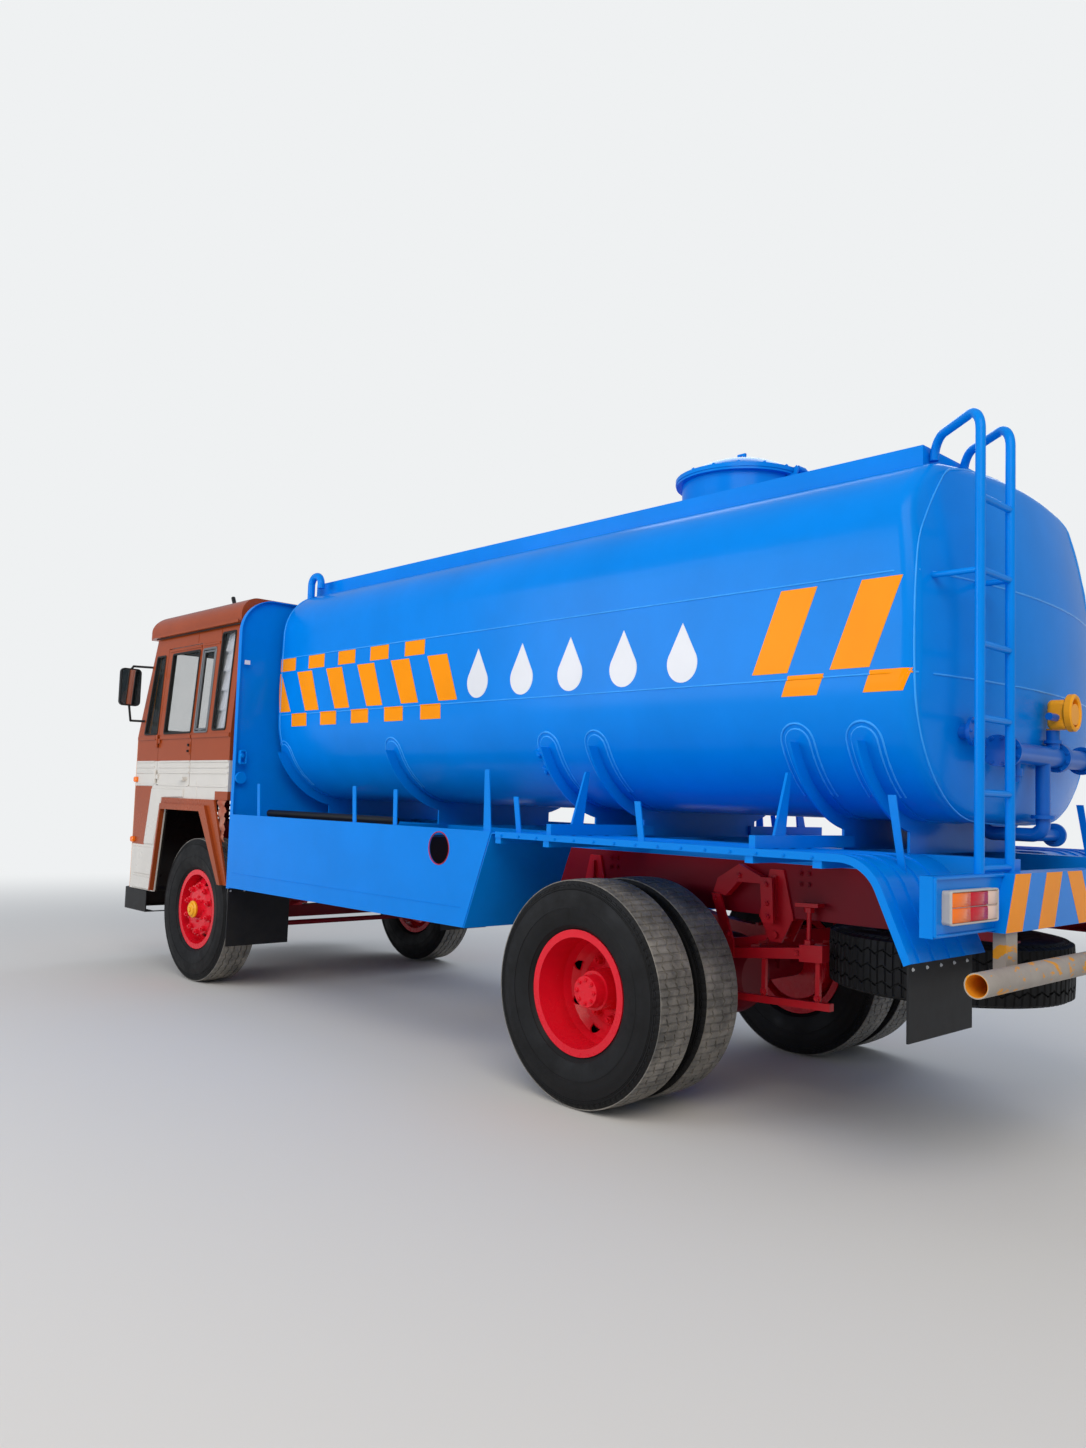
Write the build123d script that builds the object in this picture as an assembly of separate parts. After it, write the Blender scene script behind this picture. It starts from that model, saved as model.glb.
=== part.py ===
"""A two-axle water tanker truck with a coach-built cab, in millimetres.

The truck faces -Y, +X is its left side and the ground is Z = 0. The origin lies on the ground under the
middle of the whole vehicle.
"""

import os
from math import asin, atan2, cos, degrees, pi, radians, sin, tan

from build123d import *

os.makedirs("parts", exist_ok=True)

# Driving dimensions.
WHEELBASE = 4030.0
FRONT_OVERHANG = 1320.0
REAR_OVERHANG = 1900.0
FRONT_AXLE_Y = (FRONT_OVERHANG - REAR_OVERHANG - WHEELBASE) / 2
REAR_AXLE_Y = FRONT_AXLE_Y + WHEELBASE

# Wheels and tyres.
TYRE_R = 525.0
TYRE_W = 275.0
BARREL_R = 262.0
BEAD_R = BARREL_R + 0.3
FLANGE_R = 290.0
RIM_W = 208.0
RIM_T = 8.0
DISC_T = 10.0
FRONT_WHEEL_X = 1002.0
DUAL_SPACING = 320.0
REAR_OUTER_X = 1062.0
REAR_INNER_X = REAR_OUTER_X - DUAL_SPACING

# Steering.
KINGPIN_X = 850.0
KINGPIN_R = 20.0
PIN_PLAY = 0.05
STUB_R = 34.0
ARM_LENGTH = 190.0
BOSS_R = 44.0
WEB_IN = BOSS_R + 5
WEB_OUT = WEB_IN + 18
PLATE_T = 6.0
DRUM_R = 200.0

# Chassis frame.
RAIL_OUT_X = 430.0
RAIL_LOW_Z = 900.0
RAIL_H = 250.0
RAIL_FLANGE_W = 75.0
RAIL_T = 8.0
RAIL_TOP_Z = RAIL_LOW_Z + RAIL_H
RAIL_REAR_Y = REAR_AXLE_Y + 1700
BEARER_H = 85.0
BEARER_TOP_Z = RAIL_TOP_Z + BEARER_H
SPRING_X = 392.0
SPRING_W = 75.0

# Cab.
CAB_HALF_W = 1150.0
TUMBLEHOME = 55.0
CAB_TOP_HALF_W = CAB_HALF_W - TUMBLEHOME
CAB_FRONT_Y = FRONT_AXLE_Y - 1195
CAB_REAR_Y = FRONT_AXLE_Y + 480
CAB_WALL = 28.0
RAIL_FRONT_Y = CAB_FRONT_Y + CAB_WALL + 40
CAB_FLOOR_Z = 1400.0
CAB_FLOOR_T = 40.0
SKIRT_LOW_Z = 600.0
WAIST_Z = 1830.0
GUTTER_Z = 2620.0
ROOF_TOP_Z = 2815.0
SCREEN_LEAN = 170.0
CORNER_R = 90.0
DOOR_FRONT_Y = FRONT_AXLE_Y - 725
DOOR_REAR_Y = FRONT_AXLE_Y - 135
DOOR_LOW_Z = 1432.0
DOOR_TOP_Z = 2525.0
DOOR_GAP = 6.0
DOOR_REAR_GAP = 9.0
WINDOW_LOW_Z = 1842.0
WINDOW_TOP_Z = 2470.0
GLASS_T = 5.0

# Tank.
TANK_HALF_W = 900.0
TANK_LOW_Z = 1370.0
TANK_TOP_Z = 2855.0
TANK_CROWN = 30.0
TANK_TOP_CORNER_R = 330.0
TANK_LOW_CORNER_R = 550.0
FRONT_HEAD_R = 12000.0
TANK_HEAD_R = 3600.0
FRONT_KNUCKLE_R = 40.0
REAR_KNUCKLE_R = 70.0
HEADBOARD_Y = FRONT_AXLE_Y + 610
HEADBOARD_DEPTH = 40.0
HEADBOARD_TOP_Z = TANK_TOP_Z - 75
HEADBOARD_CORNER_R = 250.0
TANK_FRONT_Y = HEADBOARD_Y + HEADBOARD_DEPTH + 5
TANK_REAR_Y = REAR_AXLE_Y + 1640
COAMING_X = 620.0
COAMING_TOP_Z = TANK_TOP_Z + 95
COAMING_T = 6.0
MANHOLE_Y = REAR_AXLE_Y + 20
MANHOLE_R = 325.0
MANHOLE_RIM_R = 362.0
MANHOLE_TOP_Z = TANK_TOP_Z + 330

# Side panels, fenders and tail.
BODY_HALF_W = 1200.0
HEADBOARD_HALF_W = BODY_HALF_W - 10
PANEL_T = 5.0
PANEL_LOW_Z = 740.0
PANEL_TOP_Z = 1245.0
PANEL_REAR_TOP_Y = REAR_AXLE_Y - 610
PANEL_REAR_LOW_Y = REAR_AXLE_Y - 805
FENDER_IN_X = 596.0
TAIL_Y = REAR_AXLE_Y + 1752
BUMPER_REAR_Y = REAR_AXLE_Y + 1800
BUMPER_LOW_Z = 970.0
BUMPER_TOP_Z = 1190.0
UNDERRUN_R = 45.0
UNDERRUN_Z = 820.0
SEAT_GAP = 0.3


def block(x0, x1, y0, y1, z0, z1):
    """A box between two corners."""
    middle = Pos((x0 + x1) / 2, (y0 + y1) / 2, (z0 + z1) / 2)
    return middle * Box(abs(x1 - x0), abs(y1 - y0), abs(z1 - z0))


def rod(start, end, r):
    """A round bar between two points."""
    a, b = Vector(*start), Vector(*end)
    plane = Plane(origin=a, z_dir=b - a)
    return extrude(plane * Circle(r), (b - a).length)


def across(points, x0, x1):
    """A polygon of (y, z) points, carried from x0 to x1."""
    face = Plane.YZ.offset(x0) * make_face(Polyline(*points, close=True))
    return extrude(face, x1 - x0, dir=(1, 0, 0))


def along(points, y0, y1):
    """A polygon of (x, z) points, carried from y0 to y1."""
    plane = Plane(origin=(0, y0, 0), x_dir=(1, 0, 0), z_dir=(0, -1, 0))
    return extrude(plane * make_face(Polyline(*points, close=True)), y1 - y0, dir=(0, 1, 0))


def turned(points, x, y, z):
    """A closed outline of (x, r) points, turned about an axis along X through the given place."""
    outline = make_face(Polyline(*points, close=True))
    face = Plane(origin=(0, 0, 0), x_dir=(1, 0, 0), z_dir=(0, -1, 0)) * outline
    return Pos(x, y, z) * revolve(face, Axis.X, 360)


def joined(*shapes):
    """One solid made of touching shapes."""
    return shapes[0].fuse(*shapes[1:])


def other_side(*shapes):
    """The given shapes and their images on the other side of the truck."""
    return [*shapes, *(mirror(s, about=Plane.YZ) for s in shapes)]


def node(name, *pieces):
    """Writes the solids of one named piece."""
    solids = []
    for piece in pieces:
        for shape in piece if isinstance(piece, (list, tuple)) else [piece]:
            solids += shape.solids()
    export_step(Compound(children=solids), f"parts/{name}.step")


def tyre(x, y, z):
    """A tyre standing on its tread: bead, bulged sidewalls, shoulders and a slightly crowned tread."""
    half = TYRE_W / 2
    tread = half - 26
    bead = RIM_W / 2 - RIM_T - 0.3
    section = [
        Line((-bead, BEAD_R), (bead, BEAD_R)),
        Line((bead, BEAD_R), (bead, FLANGE_R + 0.5)),
        ThreePointArc((bead, FLANGE_R + 0.5), (half, TYRE_R - 130), (half - 10, TYRE_R - 42)),
        Line((half - 10, TYRE_R - 42), (tread, TYRE_R - 5)),
        ThreePointArc((tread, TYRE_R - 5), (0, TYRE_R), (-tread, TYRE_R - 5)),
        Line((-tread, TYRE_R - 5), (-half + 10, TYRE_R - 42)),
        ThreePointArc((-half + 10, TYRE_R - 42), (-half, TYRE_R - 130), (-bead, FLANGE_R + 0.5)),
        Line((-bead, FLANGE_R + 0.5), (-bead, BEAD_R)),
    ]
    face = Plane(origin=(0, 0, 0), x_dir=(1, 0, 0), z_dir=(0, -1, 0)) * make_face(section)
    return Pos(x, y, z) * revolve(face, Axis.X, 360)


def rim(x, y, z, side, disc):
    """A disc wheel: rolled barrel with two flanges and a pressed disc.

    disc is a list of (x, r) points along the disc's outer face, from the barrel to the hub.
    """
    w = RIM_W / 2
    barrel = turned(
        [(-w, BARREL_R - RIM_T), (w, BARREL_R - RIM_T), (w, FLANGE_R), (w - RIM_T, FLANGE_R),
         (w - RIM_T, BARREL_R), (RIM_T - w, BARREL_R), (RIM_T - w, FLANGE_R), (-w, FLANGE_R)], 0, 0, 0)
    inner = [(px - DISC_T, r) for px, r in reversed(disc)]
    plate = turned(disc + inner, 0, 0, 0)
    holes = [
        Rot(degrees(2 * pi * (k + 0.5) / 8), 0, 0) * Pos(0, 0, 212) * Rot(0, 90, 0) * Cylinder(26, 260)
        for k in range(8)
    ]
    wheel = barrel + plate - holes
    if side < 0:
        wheel = mirror(wheel, about=Plane.YZ)
    return Pos(x, y, z) * wheel


# Wheels: convex discs in front, deep dished discs on the outer rear wheels, the inner ones facing in.
FRONT_DISC = [(12, BARREL_R - RIM_T + 1), (40, 225), (78, 190), (88, 140), (88, STUB_R + PIN_PLAY + 25)]
DUAL_MID_X = (REAR_OUTER_X + REAR_INNER_X) / 2
REAR_DISC_X = DUAL_MID_X - REAR_OUTER_X
REAR_DISC = [(-60, BARREL_R - RIM_T + 1), (-100, 236), (REAR_DISC_X + 30, 205), (REAR_DISC_X + 11, 180),
             (REAR_DISC_X + 11, 116)]

for side, word in ((1, "left"), (-1, "right")):
    x = side * FRONT_WHEEL_X
    node(f"front_tyre_{word}", tyre(x, FRONT_AXLE_Y, TYRE_R))
    hub_in = KINGPIN_X + WEB_OUT + PLATE_T + 8 - FRONT_WHEEL_X
    hub = turned(
        [(hub_in, STUB_R + PIN_PLAY), (hub_in, 90), (hub_in + 76, 90), (hub_in + 76, DRUM_R - 20),
         (hub_in, DRUM_R - 20), (hub_in, DRUM_R), (hub_in + 88, DRUM_R), (hub_in + 88, 90), (78, 90),
         (78, 70),
         (120, 62), (120, 30), (150, 24), (150, 0), (112, 0), (112, STUB_R + PIN_PLAY)], 0, 0, 0)
    if side < 0:
        hub = mirror(hub, about=Plane.YZ)
    wheel = rim(x, FRONT_AXLE_Y, TYRE_R, side, FRONT_DISC) + Pos(x, FRONT_AXLE_Y, TYRE_R) * hub
    node(f"front_wheel_{word}", wheel)

    xo, xi = side * REAR_OUTER_X, side * REAR_INNER_X
    node(f"rear_tyres_{word}", tyre(xo, REAR_AXLE_Y, TYRE_R), tyre(xi, REAR_AXLE_Y, TYRE_R))
    outer = rim(xo, REAR_AXLE_Y, TYRE_R, side, REAR_DISC)
    inner = rim(xi, REAR_AXLE_Y, TYRE_R, side, [(-px, r) for px, r in REAR_DISC])
    drum = turned(
        [(-270, 52.05), (-270, 205), (-140, 205), (-140, 185), (-258, 185), (-258, 100), (-12, 100),
         (-12, 125),
         (12, 125), (12, 100), (150, 92), (150, 80), (205, 72), (205, 0), (190, 0), (190, 52.05)], 0, 0, 0)
    if side < 0:
        drum = mirror(drum, about=Plane.YZ)
    drum = Pos(side * DUAL_MID_X, REAR_AXLE_Y, TYRE_R) * drum
    node(f"rear_wheels_{word}", outer + inner + drum)

# Steering knuckles with their king pins, stub axles, back plates and arms, and the track rod.
BEAM_END_H = 110.0
BEAM_Z = TYRE_R
for side, word in ((1, "left"), (-1, "right")):
    lug = BEAM_END_H / 2 + 3
    reach = lug + 36
    pin = Cylinder(KINGPIN_R, 2 * reach + 12)
    yoke = [Pos(0, 0, end * (lug + 18)) * Cylinder(BOSS_R, 36) for end in (-1, 1)]
    yoke += [block(0, WEB_OUT, -BOSS_R + 2, BOSS_R - 2, lug, reach),
             block(0, WEB_OUT, -BOSS_R + 2, BOSS_R - 2, -reach, -lug)]
    web = block(WEB_IN, WEB_OUT, -BOSS_R + 2, BOSS_R - 2, -reach, reach)
    stub = rod((WEB_IN, 0, 0), (FRONT_WHEEL_X + 108 - KINGPIN_X, 0, 0), STUB_R)
    plate = rod((WEB_OUT - 1, 0, 0), (WEB_OUT + PLATE_T, 0, 0), DRUM_R - 25)
    arm = across([(20, -lug - 36), (ARM_LENGTH + 22, -lug - 36), (ARM_LENGTH + 22, -lug - 18),
                  (20, -lug - 12)], -58, -18)
    arm += block(-58, 10, 18, 46, -lug - 36, -lug - 12)
    knuckle = joined(pin, *yoke, web, stub, plate, arm)
    if side < 0:
        knuckle = mirror(knuckle, about=Plane.YZ)
    node(f"knuckle_{word}", Pos(side * KINGPIN_X, FRONT_AXLE_Y, BEAM_Z) * knuckle)

ROD_Z = BEAM_Z - BEAM_END_H / 2 - 3 - 36 - SEAT_GAP
ROD_Y = FRONT_AXLE_Y + ARM_LENGTH
ROD_X = KINGPIN_X - 38
track = rod((-ROD_X, ROD_Y, ROD_Z - 22), (ROD_X, ROD_Y, ROD_Z - 22), 19)
for x in (-ROD_X, ROD_X):
    track += Pos(x, ROD_Y, ROD_Z - 22) * Cylinder(26, 44)
node("track_rod", track)

# Front axle: a forged I-beam, dropped between the spring seats, with a bored boss at each king pin.
half_boss = BEAM_END_H / 2
beam_line = [(0, -92), (SPRING_X + 60, -92), (KINGPIN_X - 90, -30), (KINGPIN_X - 20, -30)]
top_line = [(KINGPIN_X - 20, 32), (KINGPIN_X - 110, 32), (SPRING_X + 50, 0), (0, 0)]
beam_points = beam_line + top_line
beam_points += [(-x, z) for x, z in reversed(beam_points[1:-1])]
plane = Plane(origin=(0, FRONT_AXLE_Y - 40, BEAM_Z), x_dir=(1, 0, 0), z_dir=(0, -1, 0))
beam = extrude(plane * make_face(Polyline(*beam_points, close=True)), 80, dir=(0, 1, 0))
for x in (-KINGPIN_X, KINGPIN_X):
    beam += Pos(x, FRONT_AXLE_Y, BEAM_Z) * Cylinder(BOSS_R, BEAM_END_H)
for x in (-SPRING_X, SPRING_X):
    beam += block(x - 48, x + 48, FRONT_AXLE_Y - 75, FRONT_AXLE_Y + 75, BEAM_Z - 22, BEAM_Z + 10)
for x in (-KINGPIN_X, KINGPIN_X):
    beam -= Pos(x, FRONT_AXLE_Y, BEAM_Z) * Cylinder(KINGPIN_R + PIN_PLAY, BEAM_END_H + 20)
node("front_axle", beam)

# Rear axle: banjo housing with its bowl, round tubes, spring seats and spindles for the hubs.
TUBE_R = 75.0
spindle_end = DUAL_MID_X + 180
axle = rod((-DUAL_MID_X + 300, REAR_AXLE_Y, TYRE_R), (DUAL_MID_X - 300, REAR_AXLE_Y, TYRE_R), TUBE_R)
axle += rod((-spindle_end, REAR_AXLE_Y, TYRE_R), (spindle_end, REAR_AXLE_Y, TYRE_R), 52)
bowl = Pos(0, REAR_AXLE_Y, TYRE_R) * Sphere(215)
bowl &= block(-215, 215, REAR_AXLE_Y - 150, REAR_AXLE_Y + 175, TYRE_R - 215, TYRE_R + 215)
nose = rod((0, REAR_AXLE_Y - 290, TYRE_R + 25), (0, REAR_AXLE_Y - 130, TYRE_R + 25), 95)
axle += bowl + nose
for x in (-SPRING_X, SPRING_X):
    axle += block(x - 50, x + 50, REAR_AXLE_Y - 90, REAR_AXLE_Y + 90, TYRE_R, TYRE_R + TUBE_R + 15)
node("rear_axle", axle)


def leaf_pack(x, y, seat_z, half, leaves, thick, rise):
    """Stacked leaves, the longest on top, each bent to the same curve, above the axle's seat."""
    pack = None
    for k in range(leaves):
        reach = half * (1 - 0.78 * k / leaves)
        z = seat_z + thick * (leaves - k)
        bend = rise * (reach / half) ** 2
        edge = [
            ThreePointArc((-reach, z + bend), (0, z), (reach, z + bend)),
            Line((reach, z + bend), (reach, z + bend - thick)),
            ThreePointArc((reach, z + bend - thick), (0, z - thick), (-reach, z + bend - thick)),
            Line((-reach, z + bend - thick), (-reach, z + bend)),
        ]
        strip = extrude(Plane.YZ.offset(x - SPRING_W / 2) * make_face(edge), SPRING_W, dir=(1, 0, 0))
        strip = Pos(0, y, 0) * strip
        pack = strip if pack is None else pack + strip
    return pack


HANGER_HALF_W = 95.0
EAR_T = 12.0


def hanger(x, y, eye_z):
    """A cast spring hanger on the left rail: a palm on the web, two ears and the pin of the spring's eye."""
    top = RAIL_LOW_Z
    ear_in = x + SPRING_W / 2 + 4
    ear_points = [(y - HANGER_HALF_W, top), (y + HANGER_HALF_W, top), (y + 34, eye_z - 34),
                  (y - 34, eye_z - 34)]
    palm = across([(y - HANGER_HALF_W, top), (y - 38, RAIL_TOP_Z - 30), (y + 38, RAIL_TOP_Z - 30),
                   (y + HANGER_HALF_W, top)], RAIL_OUT_X, RAIL_OUT_X + EAR_T)
    outer = across(ear_points, ear_in, RAIL_OUT_X + EAR_T)
    inner = across(ear_points, 2 * x - ear_in - EAR_T, 2 * x - ear_in)
    bridge = block(2 * x - ear_in - EAR_T, RAIL_OUT_X + EAR_T, y - HANGER_HALF_W, y + HANGER_HALF_W,
                   top - 12, top)
    rib = across([(y - 7, top), (y - 7, RAIL_TOP_Z - 60), (y + 7, RAIL_TOP_Z - 60), (y + 7, top)],
                 RAIL_OUT_X + EAR_T, RAIL_OUT_X + EAR_T + 18)
    pin = rod((2 * x - ear_in - EAR_T - 14, y, eye_z), (RAIL_OUT_X + EAR_T + 14, y, eye_z), 16)
    return joined(palm, outer, inner, bridge, rib, pin)


FRONT_SPRING = dict(half=700.0, leaves=7, thick=11.0, rise=105.0)
REAR_SPRING = dict(half=580.0, leaves=10, thick=13.0, rise=75.0)
front_seat_z = BEAM_Z + 10
rear_seat_z = TYRE_R + TUBE_R + 15
springs = []
hangers = []
for y, seat, spec in ((FRONT_AXLE_Y, front_seat_z, FRONT_SPRING), (REAR_AXLE_Y, rear_seat_z, REAR_SPRING)):
    top = seat + spec["thick"] * spec["leaves"] + spec["rise"]
    for x in (-SPRING_X, SPRING_X):
        pack = leaf_pack(x, y, seat, **spec)
        for end in (-1, 1):
            eye_y = y + end * (spec["half"] + 14)
            pack += rod((x - SPRING_W / 2, eye_y, top - 6), (x + SPRING_W / 2, eye_y, top - 6), 26)
            if x > 0:
                hangers.append(hanger(x, eye_y, top - 6))
            pack -= rod((x - 70, eye_y, top - 6), (x + 70, eye_y, top - 6), 16.3)
        for bolt in (-1, 1):
            strap_y = y + bolt * 62
            pack += block(x - 52, x + 52, strap_y - 10, strap_y + 10, seat + spec["thick"] * spec["leaves"],
                          seat + spec["thick"] * spec["leaves"] + 16)
        springs.append(pack)
node("leaf_springs", springs)
node("spring_hangers", other_side(*hangers))

# Chassis rails, C-sections open to the inside, and the cross members between their webs.
web_in = RAIL_OUT_X - RAIL_T
section = [
    (RAIL_OUT_X, RAIL_LOW_Z), (RAIL_OUT_X, RAIL_TOP_Z), (RAIL_OUT_X - RAIL_FLANGE_W, RAIL_TOP_Z),
    (RAIL_OUT_X - RAIL_FLANGE_W, RAIL_TOP_Z - RAIL_T), (web_in, RAIL_TOP_Z - RAIL_T),
    (web_in, RAIL_LOW_Z + RAIL_T), (RAIL_OUT_X - RAIL_FLANGE_W, RAIL_LOW_Z + RAIL_T),
    (RAIL_OUT_X - RAIL_FLANGE_W, RAIL_LOW_Z),
]
node("chassis_rails", other_side(along(section, RAIL_FRONT_Y, RAIL_REAR_Y)))
CROSS_OFFSETS = (60, 2060, 3150, 3700, 4700, 5900, 6600)
CROSS_H = 112.0
cross_members = []
for step in CROSS_OFFSETS:
    y = RAIL_FRONT_Y + step
    channel = block(-web_in, web_in, y - 40, y + 40, RAIL_TOP_Z - RAIL_T - CROSS_H, RAIL_TOP_Z - RAIL_T)
    channel -= block(-web_in + 60, web_in - 60, y - 32, y + 41, RAIL_TOP_Z - RAIL_T - CROSS_H + 8,
                     RAIL_TOP_Z - RAIL_T - 8)
    cross_members.append(channel)
node("cross_members", cross_members)

# Engine as one plain block, gearbox and propeller shaft.
ENGINE_FRONT_Y = RAIL_FRONT_Y + 260
ENGINE_L = 1080.0
node("engine_block", block(-300, 300, ENGINE_FRONT_Y, ENGINE_FRONT_Y + ENGINE_L, 760, 1640))
gearbox_y = ENGINE_FRONT_Y + ENGINE_L
gearbox = extrude(Plane(origin=(0, gearbox_y, 1000), x_dir=(1, 0, 0), z_dir=(0, -1, 0)) * Circle(230), -140)
gearbox += block(-150, 150, gearbox_y + 140, gearbox_y + 640, 850, 1130)
SHAFT_R = 48.0
SHAFT_Z = 955.0
NOSE_Y, NOSE_Z = REAR_AXLE_Y - 290, TYRE_R + 25
shaft_front_y = gearbox_y + 690
gearbox += rod((0, gearbox_y + 600, SHAFT_Z), (0, shaft_front_y, SHAFT_Z), 70)
shaft_slope = atan2(SHAFT_Z - NOSE_Z, NOSE_Y - shaft_front_y)
shaft = rod((0, shaft_front_y, SHAFT_Z), (0, NOSE_Y - SHAFT_R * sin(shaft_slope) - SEAT_GAP, NOSE_Z), SHAFT_R)
node("driveline", gearbox + shaft)

# Fuel tank on the right rail, air tanks and battery box on the left rail.
TANKS_MID_Y = (FRONT_AXLE_Y + REAR_AXLE_Y) / 2
fuel = block(-870, -RAIL_OUT_X, TANKS_MID_Y - 270, TANKS_MID_Y + 530, 745, 1170)
fuel = fillet(fuel.edges().filter_by(Axis.Y), 60)
air = []
for z in (930, 1110):
    tank_air = rod((560, TANKS_MID_Y - 960, z), (560, TANKS_MID_Y - 160, z), 88)
    air.append(fillet(tank_air.edges().filter_by(GeomType.CIRCLE), 45))
brackets = [block(RAIL_OUT_X, 480, TANKS_MID_Y - step, TANKS_MID_Y - step + 40, 905, 1145)
            for step in (860, 300)]
reservoirs = joined(*air, *brackets)
battery_box = block(RAIL_OUT_X, 900, TANKS_MID_Y + 90, TANKS_MID_Y + 410, 930, 1170)
node("chassis_tanks", fuel, reservoirs, battery_box)


# Cab shell: the outer form less the inner form, cut into front, sides and rear where the panels meet.
def cab_plan(half, front, rear, r, z):
    """The cab's outline at one height, with its two front corners rounded."""
    face = make_face(Polyline((half, rear), (half, front), (-half, front), (-half, rear), close=True))
    corners = [v for v in face.vertices() if v.Y < (front + rear) / 2]
    return Pos(0, 0, z) * fillet(corners, r)


def cab_form(inset):
    """The cab's closed form below the roof, every face moved in by inset."""
    front, rear = CAB_FRONT_Y + inset, CAB_REAR_Y - inset
    low = SKIRT_LOW_Z - 10 * inset
    r = CORNER_R - inset
    waist = cab_plan(CAB_HALF_W - inset, front, rear, r, WAIST_Z)
    top = cab_plan(CAB_TOP_HALF_W - inset, front + SCREEN_LEAN, rear, r, GUTTER_Z)
    return extrude(waist, WAIST_Z - low, dir=(0, 0, -1)) + loft([waist, top], ruled=True)


shell = cab_form(0) - cab_form(CAB_WALL)

# Wheel arch opening in the side, as (y, z) points.
ARCH_TOP_Z = 1250.0
ARCH = [
    (FRONT_AXLE_Y - 670, SKIRT_LOW_Z - 20), (FRONT_AXLE_Y - 660, SKIRT_LOW_Z),
    (FRONT_AXLE_Y - 545, ARCH_TOP_Z),
    (FRONT_AXLE_Y + 115, ARCH_TOP_Z), (FRONT_AXLE_Y + 460, 740), (FRONT_AXLE_Y + 460, SKIRT_LOW_Z - 20),
]
ARCH_BAND = 88.0
shell -= across(ARCH, -CAB_HALF_W - 20, CAB_HALF_W + 20)
shell -= block(-CAB_HALF_W - 20, CAB_HALF_W + 20, FRONT_AXLE_Y + 100, CAB_REAR_Y + 20, SKIRT_LOW_Z - 20,
               ARCH_TOP_Z)
shell -= block(-CAB_HALF_W - 20, CAB_HALF_W + 20, FRONT_AXLE_Y + 300, CAB_REAR_Y + 20, ARCH_TOP_Z - 10,
               ARCH_TOP_Z + ARCH_BAND)

FRONT_CUT_Y = CAB_FRONT_Y + 95
SIDE_CUT_X = CAB_TOP_HALF_W - 130
far = 3000.0
front_cut = across([(CAB_FRONT_Y - 50, 0), (FRONT_CUT_Y, 0), (FRONT_CUT_Y, WAIST_Z),
                    (FRONT_CUT_Y + SCREEN_LEAN, GUTTER_Z), (FRONT_CUT_Y + SCREEN_LEAN, far),
                    (CAB_FRONT_Y - 50, far)], -far, far)
cab_front = shell & front_cut
rest = shell - front_cut
rear_slab = block(-SIDE_CUT_X - 135, SIDE_CUT_X + 135, CAB_REAR_Y - CAB_WALL, CAB_REAR_Y + 10, 0, far)
cab_rear = rest & rear_slab
sides = rest - rear_slab

# Windscreen opening in two panes, and the grille opening under it.
screen_low, screen_top = WAIST_Z + 55, GUTTER_Z - 75
SCREEN_HALF_W, SCREEN_BAR = CAB_TOP_HALF_W - 110, 28.0
for x0, x1 in ((SCREEN_BAR, SCREEN_HALF_W), (-SCREEN_HALF_W, -SCREEN_BAR)):
    cab_front -= block(x0, x1, CAB_FRONT_Y - 60, FRONT_CUT_Y + SCREEN_LEAN, screen_low, screen_top)
GRILLE_HALF_W, GRILLE_LOW_Z, GRILLE_TOP_Z = 520.0, 1080.0, 1480.0
cab_front -= block(-GRILLE_HALF_W, GRILLE_HALF_W, CAB_FRONT_Y - 60, CAB_FRONT_Y + 60, GRILLE_LOW_Z,
                   GRILLE_TOP_Z)
node("cab_front", cab_front)

# Rear wall with its small back window.
REAR_WINDOW = (420.0, 2080.0, 2440.0)
cab_rear -= block(-REAR_WINDOW[0], REAR_WINDOW[0], CAB_REAR_Y - 60, CAB_REAR_Y + 60, REAR_WINDOW[1],
                  REAR_WINDOW[2])
node("cab_rear_wall", cab_rear)

# Sides with a door opening, a quarter window, a fixed window behind the door and the narrow rear window.
SIDE_WINDOWS = (
    ("quarter", DOOR_FRONT_Y - 265, DOOR_FRONT_Y - 37, DOOR_FRONT_Y - 195, DOOR_FRONT_Y - 50, WINDOW_LOW_Z,
     WINDOW_TOP_Z),
    ("fixed", DOOR_REAR_Y + 35, DOOR_REAR_Y + 240, DOOR_REAR_Y + 35, DOOR_REAR_Y + 240, WINDOW_LOW_Z,
     WINDOW_TOP_Z),
    ("rear", CAB_REAR_Y - 290, CAB_REAR_Y - 92, CAB_REAR_Y - 290, CAB_REAR_Y - 92, WINDOW_LOW_Z + 10,
     WINDOW_TOP_Z + 100),
)


def window_cut(low_front, low_rear, top_front, top_rear, low, top, x0, x1):
    return across([(low_front, low), (top_front, top), (top_rear, top), (low_rear, low)], x0, x1)


HINGE_X = CAB_HALF_W + 12
HINGE_ZS = (1500.0, 1780.0)
HINGE_PIN_R = 6.0
HINGE_TUBE_R = 10.0
door_axis_y = DOOR_FRONT_Y + DOOR_GAP / 2


def door_hinge(z, leaf_y0, leaf_y1, spans):
    """One leaf of a door hinge with its tubes, each span giving a tube's heights from the hinge's middle."""
    parts = []
    for low, high in spans:
        parts.append(Pos(HINGE_X, door_axis_y, z + (low + high) / 2) * Cylinder(HINGE_TUBE_R, high - low))
        parts.append(block(CAB_HALF_W - 1, HINGE_X, leaf_y0, leaf_y1, z + low, z + high))
    return parts


door_hole = block(-far, far, DOOR_FRONT_Y, DOOR_REAR_Y, DOOR_LOW_Z, DOOR_TOP_Z)
sides -= door_hole
for name, lf, lr, tf, tr, low, top in SIDE_WINDOWS:
    sides -= window_cut(lf, lr, tf, tr, low, top, -far, far)
for z in HINGE_ZS:
    frame_leaf = door_hinge(z, DOOR_FRONT_Y - 34, DOOR_FRONT_Y, ((-50, -20), (20, 50)))
    frame_leaf.append(Pos(HINGE_X, door_axis_y, z) * Cylinder(HINGE_PIN_R, 100))
    for shape in frame_leaf:
        sides = sides + shape + mirror(shape, about=Plane.YZ)
node("cab_sides", sides)

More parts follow.
